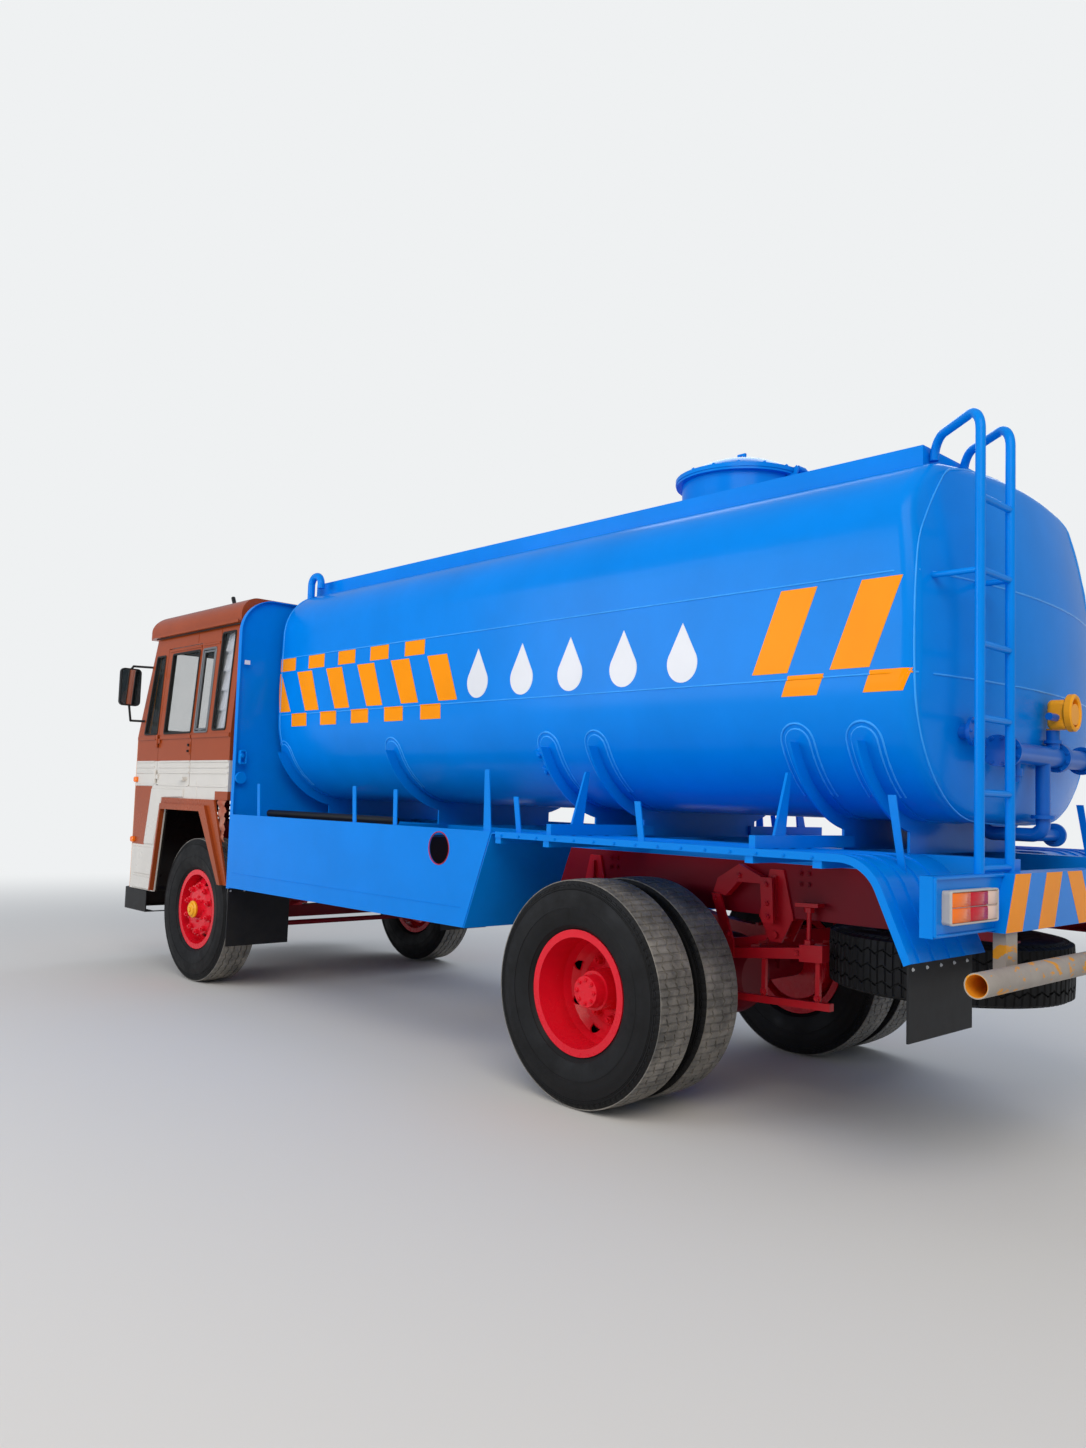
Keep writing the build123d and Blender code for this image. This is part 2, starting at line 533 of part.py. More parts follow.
# Doors: the same wall as the side, less the running gap, with the window cut out.
door_zone = block(0, far, DOOR_FRONT_Y + DOOR_GAP, DOOR_REAR_Y - DOOR_REAR_GAP, DOOR_LOW_Z + DOOR_GAP,
                  DOOR_TOP_Z - DOOR_GAP)
door = shell & door_zone
DOOR_WINDOW = (DOOR_FRONT_Y + 95, DOOR_REAR_Y - 30)
door -= block(0, far, DOOR_WINDOW[0], DOOR_WINDOW[1], WINDOW_LOW_Z, WINDOW_TOP_Z)
door += block(CAB_HALF_W - 2, CAB_HALF_W + 34, DOOR_REAR_Y - 150, DOOR_REAR_Y - 50, DOOR_LOW_Z + 40,
              DOOR_LOW_Z + 66)
for z in HINGE_ZS:
    for shape in door_hinge(z, DOOR_FRONT_Y + DOOR_GAP, DOOR_FRONT_Y + 46, ((-18, 18),)):
        door += shape
    door -= Pos(HINGE_X, door_axis_y, z) * Cylinder(HINGE_PIN_R + PIN_PLAY, 60)
node("door_left", door)
node("door_right", mirror(door, about=Plane.YZ))

# Glass: each pane is a slice of the cab's wall, seated in its opening.
pane_wall = cab_form(CAB_WALL / 2 - GLASS_T / 2) - cab_form(CAB_WALL / 2 + GLASS_T / 2)
door_pane = pane_wall & block(0, far, DOOR_WINDOW[0] + 1, DOOR_WINDOW[1] - 1, WINDOW_LOW_Z + SEAT_GAP,
                              WINDOW_TOP_Z - 1)
node("door_glass_left", door_pane)
node("door_glass_right", mirror(door_pane, about=Plane.YZ))
panes = []
for x0, x1 in ((SCREEN_BAR + 1, SCREEN_HALF_W - 1), (1 - SCREEN_HALF_W, -SCREEN_BAR - 1)):
    panes += (pane_wall & block(x0, x1, CAB_FRONT_Y - 60, FRONT_CUT_Y + SCREEN_LEAN,
                                screen_low + SEAT_GAP, screen_top - 1)).solids()
for name, lf, lr, tf, tr, low, top in SIDE_WINDOWS:
    for x0, x1 in ((0, far), (-far, 0)):
        panes += (pane_wall & window_cut(lf + 1, lr - 1, tf + 1, tr - 1, low + SEAT_GAP, top - 1, x0,
                                         x1)).solids()
panes += (pane_wall & block(-REAR_WINDOW[0] + 1, REAR_WINDOW[0] - 1, CAB_REAR_Y - 60, CAB_REAR_Y + 60,
                            REAR_WINDOW[1] + SEAT_GAP, REAR_WINDOW[2] - 1)).solids()
node("cab_glass", panes)

# Floor with its engine tunnel, and the roof with rounded edges, hollow underneath.
inner = cab_form(CAB_WALL)
floor = inner & block(-far, far, -far * 2, far, CAB_FLOOR_Z - CAB_FLOOR_T, CAB_FLOOR_Z)
TUNNEL_HALF_W, TUNNEL_TOP_Z, TUNNEL_REAR_Y = 380.0, 1740.0, ENGINE_FRONT_Y + ENGINE_L + 60
tunnel = block(-TUNNEL_HALF_W, TUNNEL_HALF_W, CAB_FRONT_Y + 200, TUNNEL_REAR_Y, CAB_FLOOR_Z - CAB_FLOOR_T,
               TUNNEL_TOP_Z)
tunnel = fillet(tunnel.edges().filter_by(
    lambda e: e.center().Z > CAB_FLOOR_Z and e.center().Y > CAB_FRONT_Y + 210), 60)
tunnel_in = block(-TUNNEL_HALF_W + 20, TUNNEL_HALF_W - 20, CAB_FRONT_Y + 220, TUNNEL_REAR_Y - 20,
                  CAB_FLOOR_Z - CAB_FLOOR_T - 10, TUNNEL_TOP_Z - 20)
node("cab_floor", floor + tunnel - tunnel_in)

# Cab mounts: two in front and two behind, on the rails.
mounts = []
for y in (CAB_FRONT_Y + 160, CAB_REAR_Y - 120):
    foot = block(RAIL_OUT_X - RAIL_FLANGE_W, RAIL_OUT_X, y - 45, y + 45, RAIL_TOP_Z, RAIL_TOP_Z + 14)
    post = block(RAIL_OUT_X - 60, RAIL_OUT_X - 14, y - 35, y + 35, RAIL_TOP_Z,
                 CAB_FLOOR_Z - CAB_FLOOR_T - SEAT_GAP)
    mounts.append(foot + post)
node("cab_mounts", other_side(*mounts))

ROOF_R = 130.0
roof_front = CAB_FRONT_Y + SCREEN_LEAN - 20
roof_out = block(-CAB_TOP_HALF_W - 22, CAB_TOP_HALF_W + 22, roof_front, CAB_REAR_Y + 8, GUTTER_Z, ROOF_TOP_Z)
roof_out = fillet(roof_out.edges().filter_by(
    lambda e: e.center().Z > ROOF_TOP_Z - 1 and e.center().Y < CAB_REAR_Y), ROOF_R)
roof_in = block(-CAB_TOP_HALF_W + 20, CAB_TOP_HALF_W - 20, roof_front + 45, CAB_REAR_Y - CAB_WALL,
                GUTTER_Z - 10,
                ROOF_TOP_Z - 20)
roof_in = fillet(roof_in.edges().filter_by(
    lambda e: e.center().Z > ROOF_TOP_Z - 21 and e.center().Y < CAB_REAR_Y - 60), ROOF_R - 30)
roof = roof_out - roof_in
gutter = along([(CAB_TOP_HALF_W + 20, GUTTER_Z), (CAB_TOP_HALF_W + 48, GUTTER_Z + 4),
                (CAB_TOP_HALF_W + 48, GUTTER_Z + 24), (CAB_TOP_HALF_W + 40, GUTTER_Z + 24),
                (CAB_TOP_HALF_W + 38, GUTTER_Z + 12), (CAB_TOP_HALF_W + 20, GUTTER_Z + 10)],
               roof_front + 60, CAB_REAR_Y + 8)
node("cab_roof", roof + other_side(gutter))

# Arch trims: a folded band round each front wheel arch, standing proud of the side.
band_in = [(FRONT_AXLE_Y - 660, SKIRT_LOW_Z + 10), (FRONT_AXLE_Y - 545, ARCH_TOP_Z),
           (FRONT_AXLE_Y + 115, ARCH_TOP_Z),
           (FRONT_AXLE_Y + 460, 742)]
band_out = [(FRONT_AXLE_Y + 562, 742), (FRONT_AXLE_Y + 300, ARCH_TOP_Z + ARCH_BAND),
            (FRONT_AXLE_Y - 575, ARCH_TOP_Z + ARCH_BAND), (FRONT_AXLE_Y - 700, SKIRT_LOW_Z + 10)]
band_mid = [(FRONT_AXLE_Y + 505, 742), (FRONT_AXLE_Y + 195, ARCH_TOP_Z + ARCH_BAND / 2),
            (FRONT_AXLE_Y - 560, ARCH_TOP_Z + ARCH_BAND / 2), (FRONT_AXLE_Y - 680, SKIRT_LOW_Z + 10)]
trim = across(band_in + band_out, CAB_HALF_W, CAB_HALF_W + 14)
trim += across(band_in + band_mid, CAB_HALF_W, CAB_HALF_W + 36)
node("arch_trims", other_side(trim))

# Grille: horizontal slats between two cheeks, seated in the front panel's opening.
grille = block(-GRILLE_HALF_W, GRILLE_HALF_W, CAB_FRONT_Y + 4, CAB_FRONT_Y + 22, GRILLE_LOW_Z, GRILLE_TOP_Z)
SLATS = 8
pitch = (GRILLE_TOP_Z - GRILLE_LOW_Z - 20) / SLATS
for k in range(SLATS):
    z = GRILLE_LOW_Z + 20 + k * pitch
    for x0, x1 in ((-GRILLE_HALF_W + 25, -12), (12, GRILLE_HALF_W - 25)):
        grille -= block(x0, x1, CAB_FRONT_Y, CAB_FRONT_Y + 30, z, z + pitch - 20)
node("grille", grille)

# Head lamps in round bezels on the front panel.
LAMP_X, LAMP_Z, LAMP_R = 760.0, 1200.0, 100.0
lamp = turned([(0, 0), (0, LAMP_R), (24, LAMP_R), (34, LAMP_R - 16), (44, 40), (46, 0)], 0, 0, 0)
lamps = []
for x in (-LAMP_X, LAMP_X):
    lamps.append(Pos(x, CAB_FRONT_Y, LAMP_Z) * Rot(0, 0, -90) * lamp)

# Front bumper: a channel that wraps round both corners under the skirt, on two irons from the rails.
BUMPER_FRONT_Y = FRONT_AXLE_Y - FRONT_OVERHANG
FRONT_BUMPER_LOW_Z, FRONT_BUMPER_TOP_Z = SKIRT_LOW_Z - 175, SKIRT_LOW_Z - 8
FRONT_BUMPER_T = 8.0
bumper_half, bumper_back_y = CAB_HALF_W - 12, BUMPER_FRONT_Y + 500


def bumper_block(inset, depth):
    """The bumper's outline with its two front corners rounded, every side moved in by inset."""
    outline = block(-bumper_half + inset, bumper_half - inset, BUMPER_FRONT_Y + inset, bumper_back_y + depth,
                    FRONT_BUMPER_LOW_Z + depth, FRONT_BUMPER_TOP_Z - depth)
    corners = outline.edges().filter_by(Axis.Z).filter_by(lambda e: e.center().Y < BUMPER_FRONT_Y + inset + 5)
    return fillet(corners, 120 - inset)


bumper = bumper_block(0, 0) - bumper_block(FRONT_BUMPER_T, FRONT_BUMPER_T) - bumper_block(70, -10)
for x in (-RAIL_OUT_X + 20, RAIL_OUT_X - 20):
    bumper += block(x - 30, x + 30, BUMPER_FRONT_Y + 4, RAIL_FRONT_Y, FRONT_BUMPER_LOW_Z + 20,
                    FRONT_BUMPER_TOP_Z - 20)
    bumper += block(x - 30, x + 30, RAIL_FRONT_Y - 30, RAIL_FRONT_Y, FRONT_BUMPER_LOW_Z + 20,
                    RAIL_LOW_Z + 150)
node("front_bumper", bumper)

# Mirrors on bent arms at the front corners.
MIRROR_X, MIRROR_Y = CAB_HALF_W + 115, CAB_FRONT_Y + 115
MIRROR_LOW_Z, MIRROR_HIGH_Z = WAIST_Z + 240, WAIST_Z + 545
arm_top = [(CAB_TOP_HALF_W, CAB_FRONT_Y + 190, MIRROR_HIGH_Z + 20),
           (MIRROR_X - 20, MIRROR_Y + 12, MIRROR_HIGH_Z + 20), (MIRROR_X, MIRROR_Y + 12, MIRROR_HIGH_Z - 10)]
arm_low = [(CAB_HALF_W - 30, CAB_FRONT_Y + 170, MIRROR_LOW_Z - 120),
           (MIRROR_X - 20, MIRROR_Y + 12, MIRROR_LOW_Z - 120), (MIRROR_X, MIRROR_Y + 12, MIRROR_LOW_Z + 10)]
glass_case = block(MIRROR_X - 85, MIRROR_X + 85, MIRROR_Y, MIRROR_Y + 26, MIRROR_LOW_Z, MIRROR_HIGH_Z)
glass_case = fillet(glass_case.edges().filter_by(Axis.Y), 35)
mirrors = glass_case
for path in (arm_top, arm_low):
    for a, b in zip(path, path[1:]):
        mirrors += rod(a, b, 9)
    mirrors += Pos(*path[1]) * Sphere(9)
mirrors -= cab_form(-SEAT_GAP)
node("mirrors", other_side(mirrors))

# Seats on their bases, and the dashboard with the steering column and wheel on the right.
seats = []
for x in (-640.0, 640.0):
    cushion = block(x - 250, x + 250, FRONT_AXLE_Y - 430, FRONT_AXLE_Y + 20, CAB_FLOOR_Z + 280,
                    CAB_FLOOR_Z + 400)
    cushion = fillet(cushion.edges(), 40)
    backrest = fillet(Box(480, 110, 560).edges(), 40)
    back = Pos(x, FRONT_AXLE_Y + 60, CAB_FLOOR_Z + 650) * Rot(-12, 0, 0) * backrest
    base = block(x - 190, x + 190, FRONT_AXLE_Y - 380, FRONT_AXLE_Y - 20, CAB_FLOOR_Z, CAB_FLOOR_Z + 285)
    seats.append(cushion + back + base)
node("seats", seats)
WHEEL_RIM_R = 230.0
dash_front = CAB_FRONT_Y + CAB_WALL
dash = across([(dash_front + SEAT_GAP, WAIST_Z - 330), (dash_front + SEAT_GAP, WAIST_Z - 10),
               (dash_front + 250, WAIST_Z),
               (dash_front + 330, WAIST_Z - 60), (dash_front + 300, WAIST_Z - 250)], -CAB_HALF_W + 120,
               CAB_HALF_W - 120)
column_low = (-640.0, dash_front + 250, WAIST_Z - 200)
column_top = (-640.0, dash_front + 470, WAIST_Z + 60)
dash -= tunnel
dash += rod(column_low, column_top, 28)
tilt = Plane(origin=column_top, z_dir=Vector(*column_top) - Vector(*column_low))
ring = Solid.make_torus(WHEEL_RIM_R, 15, tilt)
dash += ring
for k in range(3):
    turn = radians(90 + 120 * k)
    tip = tilt.from_local_coords(Vector(WHEEL_RIM_R * cos(turn), WHEEL_RIM_R * sin(turn), 0))
    dash += rod(column_top, (tip.X, tip.Y, tip.Z), 9)
dash += Pos(*column_top) * Sphere(45)
node("cab_interior", dash)


# Headboard: a sheet with a folded edge, rounded at its top corners, on the frame behind the cab.
def headboard_form(inset, y0, y1):
    z0, z1 = PANEL_LOW_Z - 10, HEADBOARD_TOP_Z
    x = HEADBOARD_HALF_W - inset
    form = block(-x, x, y0, y1, z0 + inset, z1 - inset)
    upper = form.edges().filter_by(Axis.Y).filter_by(lambda e: e.center().Z > (z0 + z1) / 2)
    return fillet(upper, HEADBOARD_CORNER_R - inset)


headboard = headboard_form(0, HEADBOARD_Y, HEADBOARD_Y + HEADBOARD_DEPTH)
headboard -= headboard_form(6, HEADBOARD_Y + 5, HEADBOARD_Y + HEADBOARD_DEPTH + 10)
headboard -= block(-RAIL_OUT_X - 12, RAIL_OUT_X + 12, HEADBOARD_Y - 10, HEADBOARD_Y + HEADBOARD_DEPTH + 10, 0,
                   RAIL_TOP_Z + SEAT_GAP)
node("headboard", headboard)


# Tank: a pillow section, carried back and cut by two shallow domes, with rolled knuckles.
def tank_section(offset):
    """The tank's outline in the XZ plane, moved out by offset."""
    a, low, top = TANK_HALF_W + offset, TANK_LOW_Z - offset, TANK_TOP_Z + offset
    mid = (low + top) / 2
    edges = [
        ThreePointArc((-a, top - TANK_CROWN), (0, top + TANK_CROWN), (a, top - TANK_CROWN)),
        ThreePointArc((a, top - TANK_CROWN), (a + 12, mid), (a, low + TANK_CROWN)),
        ThreePointArc((a, low + TANK_CROWN), (0, low), (-a, low + TANK_CROWN)),
        ThreePointArc((-a, low + TANK_CROWN), (-a - 12, mid), (-a, top - TANK_CROWN)),
    ]
    face = make_face(edges)
    high = face.vertices().filter_by(lambda v: v.Y > mid)
    face = fillet(high, TANK_TOP_CORNER_R + offset)
    deep = [v for v in face.vertices() if v.Y < low + TANK_CROWN + 5 and abs(v.X) > a - 5]
    return fillet(deep, TANK_LOW_CORNER_R + offset)


def tank_body(offset, y0, y1):
    """The tank's section carried from y0 to y1."""
    plane = Plane(origin=(0, y0, 0), x_dir=(1, 0, 0), z_dir=(0, -1, 0))
    return extrude(plane * tank_section(offset), y1 - y0, dir=(0, 1, 0))


tank_mid_z = (TANK_LOW_Z + TANK_TOP_Z) / 2
tank = tank_body(0, TANK_FRONT_Y, TANK_REAR_Y)
tank &= Pos(0, TANK_FRONT_Y + FRONT_HEAD_R, tank_mid_z) * Rot(90, 0, 0) * Sphere(FRONT_HEAD_R)
tank &= Pos(0, TANK_REAR_Y - TANK_HEAD_R, tank_mid_z) * Rot(90, 0, 0) * Sphere(TANK_HEAD_R)
for end_y, r in ((TANK_FRONT_Y, FRONT_KNUCKLE_R), (TANK_REAR_Y, REAR_KNUCKLE_R)):
    seam = tank.edges().filter_by(
        lambda e: abs(e.center().Y - end_y) < 400 and not abs(e.tangent_at(0.5).Y) > 0.9)
    tank = fillet(seam, r)
node("tank", tank)

# Bearers on the rails, outriggers, and the saddles that cradle the tank.
BEARER_FRONT_Y = HEADBOARD_Y + HEADBOARD_DEPTH
BEARER_REAR_Y = RAIL_REAR_Y
SADDLE_YS = (HEADBOARD_Y + 155, REAR_AXLE_Y - 1957, REAR_AXLE_Y - 556, REAR_AXLE_Y - 206, REAR_AXLE_Y + 973,
             REAR_AXLE_Y + 1286)
PROPPED_YS = (SADDLE_YS[3], SADDLE_YS[4])
SADDLE_T = 12.0
SADDLE_REACH = 62.0
SADDLE_HALF_W = TANK_HALF_W + 38
SADDLE_TOP_Z = TANK_LOW_Z + 320
PAD_T = 5.0
PAD_HALF_W = 55.0
FENDER_TOP_Z = BEARER_TOP_Z + PANEL_T
RIB_H = 6.0
bearer = along([(RAIL_OUT_X, RAIL_TOP_Z), (RAIL_OUT_X, BEARER_TOP_Z),
                (RAIL_OUT_X - RAIL_FLANGE_W, BEARER_TOP_Z),
                (RAIL_OUT_X - RAIL_FLANGE_W, RAIL_TOP_Z)], BEARER_FRONT_Y, BEARER_REAR_Y)
bearers = other_side(bearer)
left_bearers = bearers[0]
for y in SADDLE_YS:
    left_bearers += block(RAIL_OUT_X - 10, BODY_HALF_W - PANEL_T - SEAT_GAP, y - 20, y + 20,
                          BEARER_TOP_Z - 48, BEARER_TOP_Z)
node("bearers", other_side(left_bearers))



def saddle(y):
    """A saddle: a curved web under the tank, its doubler pad with round ends, and props where it has them."""
    y0, y1 = y - SADDLE_T / 2, y + SADDLE_T / 2
    curve = tank_body(SADDLE_REACH, y0, y1) & block(-SADDLE_HALF_W, SADDLE_HALF_W, y0, y1, BEARER_TOP_Z,
                                                    SADDLE_TOP_Z)
    web = block(-RAIL_OUT_X - 60, RAIL_OUT_X + 60, y0, y1, BEARER_TOP_Z, TANK_LOW_Z + 200)
    pad_zone = block(-far, far, y - PAD_HALF_W, y + PAD_HALF_W, BEARER_TOP_Z, SADDLE_TOP_Z)
    pad_zone += rod((-far, y, SADDLE_TOP_Z), (far, y, SADDLE_TOP_Z), PAD_HALF_W)
    pad = tank_body(PAD_T, y - PAD_HALF_W, y + PAD_HALF_W) & pad_zone
    whole = curve + web + pad
    if y in PROPPED_YS:
        arm_z0, arm_z1 = FENDER_TOP_Z + RIB_H, FENDER_TOP_Z + RIB_H + 52
        for side in (-1, 1):
            outer = side * (BODY_HALF_W - 12)
            whole += block(side * RAIL_OUT_X, outer, y - 6, y + 24, arm_z0, arm_z1)
            prop = along([(SADDLE_HALF_W - 26, SADDLE_TOP_Z - 130), (SADDLE_HALF_W, SADDLE_TOP_Z - 130),
                          (SADDLE_HALF_W + 90, arm_z1 - 5), (SADDLE_HALF_W + 10, arm_z1 - 5)], y0, y1)
            whole += prop if side > 0 else mirror(prop, about=Plane.YZ)
    return whole - tank_body(SEAT_GAP, y - PAD_HALF_W - 5, y + PAD_HALF_W + 5)


node("tank_saddles", [saddle(y) for y in SADDLE_YS])

# Coamings along the tank's top, joined by end plates, with a flange at their feet.
coaming_y0 = TANK_FRONT_Y + 20
coaming_y1 = REAR_AXLE_Y + 1405
plates = other_side(block(COAMING_X - COAMING_T, COAMING_X, coaming_y0, coaming_y1, TANK_TOP_Z - 60,
                          COAMING_TOP_Z))
end_half = COAMING_X - COAMING_T - SEAT_GAP
for y in (coaming_y0, coaming_y1 - COAMING_T):
    plates.append(block(-end_half, end_half, y, y + COAMING_T, TANK_TOP_Z - 60, COAMING_TOP_Z))
tank_clear = tank_body(SEAT_GAP, TANK_FRONT_Y, TANK_REAR_Y)
node("coamings", [plate - tank_clear for plate in plates])

# Manhole neck with its flange and hinge ears, the valve beside it, and the gooseneck vent at the front.
neck_low = TANK_TOP_Z - 20
neck = Pos(0, MANHOLE_Y, (neck_low + MANHOLE_TOP_Z) / 2) * (
    Cylinder(MANHOLE_R, MANHOLE_TOP_Z - neck_low) - Cylinder(MANHOLE_R - 6, MANHOLE_TOP_Z - neck_low + 10))
flange_ring = Cylinder(MANHOLE_RIM_R - 4, 12) - Cylinder(MANHOLE_R - 6, 20)
flange = Pos(0, MANHOLE_Y, MANHOLE_TOP_Z - 6) * flange_ring
HINGE_Y = MANHOLE_Y + MANHOLE_RIM_R + 22
HINGE_Z = MANHOLE_TOP_Z + 14
HINGE_R = 8.0
neck += flange
for x in (-46, 34):
    neck += across([(MANHOLE_Y + MANHOLE_R, MANHOLE_TOP_Z - 50), (HINGE_Y, MANHOLE_TOP_Z - 30),
                    (HINGE_Y + 14, HINGE_Z),
                    (HINGE_Y, HINGE_Z + 14), (HINGE_Y - 14, HINGE_Z), (HINGE_Y - 16, MANHOLE_TOP_Z - 12),
                    (MANHOLE_Y + MANHOLE_R, MANHOLE_TOP_Z - 12)], x, x + 12)
neck += rod((-46, HINGE_Y, HINGE_Z), (46, HINGE_Y, HINGE_Z), HINGE_R)
neck -= tank_clear

LID_GAP = 0.5
lid_z = MANHOLE_TOP_Z + LID_GAP
LID_DOME_H = 135.0
LID_T = 8.0
LID_EDGE_T = 22.0


def cap_arc(edge_r, edge_z, top_z):
    """A dome's arc from its crown on the Z axis down to its edge."""
    rise = top_z - edge_z
    r = (edge_r ** 2 + rise ** 2) / (2 * rise)
    half = asin(edge_r / r) / 2
    return ThreePointArc((0, top_z), (r * sin(half), top_z - r + r * cos(half)), (edge_r, edge_z))


dome_r, hollow_r = MANHOLE_RIM_R - 30, MANHOLE_RIM_R - 40
lid_profile = [
    Line((0, lid_z + LID_DOME_H - LID_T), (0, lid_z + LID_DOME_H)),
    cap_arc(dome_r, lid_z + LID_EDGE_T, lid_z + LID_DOME_H),
    Line((dome_r, lid_z + LID_EDGE_T), (MANHOLE_RIM_R, lid_z + LID_EDGE_T)),
    Line((MANHOLE_RIM_R, lid_z + LID_EDGE_T), (MANHOLE_RIM_R, lid_z)),
    Line((MANHOLE_RIM_R, lid_z), (hollow_r, lid_z)),
    cap_arc(hollow_r, lid_z, lid_z + LID_DOME_H - LID_T),
]
lid_plane = Plane(origin=(0, 0, 0), x_dir=(1, 0, 0), z_dir=(0, -1, 0))
lid = Pos(0, MANHOLE_Y, 0) * revolve(lid_plane * make_face(lid_profile), Axis.Z, 360)
barrel = rod((-30, HINGE_Y, HINGE_Z), (30, HINGE_Y, HINGE_Z), 15)
barrel += block(-30, 30, MANHOLE_Y + MANHOLE_RIM_R - 20, HINGE_Y, HINGE_Z, HINGE_Z + 12)
lid += barrel
lid -= rod((-50, HINGE_Y, HINGE_Z), (50, HINGE_Y, HINGE_Z), HINGE_R + PIN_PLAY)
eye_z = lid_z + LID_DOME_H
eye = block(-7, 7, MANHOLE_Y - 26, MANHOLE_Y + 26, eye_z - 6, eye_z + 44) - rod(
    (-20, MANHOLE_Y, eye_z + 22), (20, MANHOLE_Y, eye_z + 22), 12)
lid += eye
node("manhole_lid", lid)

VENT_X, VENT_Y, VENT_R = 700.0, TANK_FRONT_Y + 75, 26.0
vent_top = TANK_TOP_Z + 130
vent_wire = FilletPolyline((VENT_X, VENT_Y, TANK_TOP_Z - 140), (VENT_X, VENT_Y, vent_top),
                           (VENT_X, VENT_Y + 130, vent_top), (VENT_X, VENT_Y + 130, vent_top - 95), radius=60)
vent = sweep(Plane(origin=vent_wire @ 0, z_dir=vent_wire % 0) * Circle(VENT_R), path=vent_wire)
vent -= tank_clear
node("tank_fittings", neck, vent)

# Side panels with a folded top edge, and a round hole near the rear.
PANEL_FRONT_Y = HEADBOARD_Y + HEADBOARD_DEPTH + SEAT_GAP
HOLE_Y, HOLE_Z, HOLE_R = REAR_AXLE_Y - 1030, 1138.0, 85.0
panel = across([(PANEL_FRONT_Y, PANEL_LOW_Z), (PANEL_FRONT_Y, PANEL_TOP_Z), (PANEL_REAR_TOP_Y, PANEL_TOP_Z),
                (PANEL_REAR_LOW_Y, PANEL_LOW_Z)], BODY_HALF_W - PANEL_T, BODY_HALF_W)
panel += block(BODY_HALF_W - 34, BODY_HALF_W, PANEL_FRONT_Y, PANEL_REAR_TOP_Y, PANEL_TOP_Z - PANEL_T,
               PANEL_TOP_Z)
panel += block(BODY_HALF_W - 26, BODY_HALF_W, PANEL_FRONT_Y, PANEL_REAR_LOW_Y, PANEL_LOW_Z,
               PANEL_LOW_Z + PANEL_T)
panel -= rod((BODY_HALF_W - 60, HOLE_Y, HOLE_Z), (BODY_HALF_W + 20, HOLE_Y, HOLE_Z), HOLE_R)
node("side_panels", other_side(panel))

# Rear fenders: one bent sheet over each pair of wheels, from the panel's end to the tail.
FENDER_END_Y, FENDER_END_Z = REAR_AXLE_Y + 1665, 877.0
FENDER_KNEE_R = 190.0
FENDER_FRONT = [(PANEL_REAR_LOW_Y + 5.3, PANEL_LOW_Z), (PANEL_REAR_TOP_Y + 5.3, FENDER_TOP_Z)]
KNEE_Y = REAR_AXLE_Y + 1501
FENDER_SLOPE = atan2(FENDER_TOP_Z - FENDER_END_Z, FENDER_END_Y - KNEE_Y)
RIB_FRONT_Y = FENDER_FRONT[1][0] + 30
RIB_W = 16.0
RIB_STEPS = (0.0, 70.0, 180.0, 300.0, 420.0)
LIP_H = 24.0


def bent_sheet(points, radii, t, x0, x1):
    """A sheet of thickness t under a line of (y, z) points with rounded bends."""
    wire = Plane.YZ.offset(x0) * FilletPolyline(*points, radius=radii)
    edge = offset(wire, amount=t, side=Side.RIGHT, closed=True)
    return extrude(make_face(edge), x1 - x0, dir=(1, 0, 0))


def fender_back(h):
    """The knee and the lower end of the fender's line, moved out by h."""
    knee = (KNEE_Y + h * tan(FENDER_SLOPE / 2), FENDER_TOP_Z + h)
    return [knee, (FENDER_END_Y + h * sin(FENDER_SLOPE), FENDER_END_Z + h * cos(FENDER_SLOPE))]


def fender_strip(h, t, x0, x1):
    """A strip that follows the fender's top and slope, its outer face h above the sheet's."""
    points = [(RIB_FRONT_Y, FENDER_TOP_Z + h)] + fender_back(h)
    return bent_sheet(points, [FENDER_KNEE_R + h], t, x0, x1)


fender = bent_sheet(FENDER_FRONT + fender_back(0), [20, FENDER_KNEE_R], PANEL_T, FENDER_IN_X, BODY_HALF_W)
fender += fender_strip(0, LIP_H, BODY_HALF_W - PANEL_T, BODY_HALF_W)
for step in RIB_STEPS:
    fender += fender_strip(RIB_H, RIB_H + 1, BODY_HALF_W - step - RIB_W, BODY_HALF_W - step)
node("rear_fenders", other_side(fender))

# Flat posts on the panel's and the fender's edge, leaning a little, and a leaning one on the fender's knee.
POST_X = BODY_HALF_W - 10
POST_W, POST_T = 34.0, 6.0
INNER_POST_X = BODY_HALF_W - RIB_STEPS[1] - RIB_W / 2
POSTS = (  # outer face, distance from the rear axle, foot height, top height, lean to the rear at the foot
    (POST_X, -3015.0, PANEL_TOP_Z, 1460.0, 20.0), (POST_X, -1865.0, PANEL_TOP_Z, 1460.0, 17.0),
    (POST_X, -1455.0, PANEL_TOP_Z, 1446.0, 8.0), (POST_X, -650.0, PANEL_TOP_Z, 1560.0, 17.0),
    (INNER_POST_X, -485.0, FENDER_TOP_Z + RIB_H, 1425.0, 30.0),
    (POST_X, 395.0, FENDER_TOP_Z + RIB_H, 1420.0, 29.0),
)
posts = []
for x, step, foot, top, lean in POSTS:
    y = REAR_AXLE_Y + step
    wide = 1.7 if top > 1500 else 1.0
    posts.append(across([(y - POST_W / 2 * wide, foot), (y + POST_W / 2 * wide, foot),
                         (y + POST_W / 2 - lean, top),
                         (y - POST_W / 2 - lean, top)], x - POST_T, x))


def knee_z(y):
    """The height of the fender's sheet on its knee."""
    out = y - KNEE_Y + FENDER_KNEE_R * tan(FENDER_SLOPE / 2)
    return FENDER_TOP_Z - FENDER_KNEE_R + (FENDER_KNEE_R ** 2 - out ** 2) ** 0.5


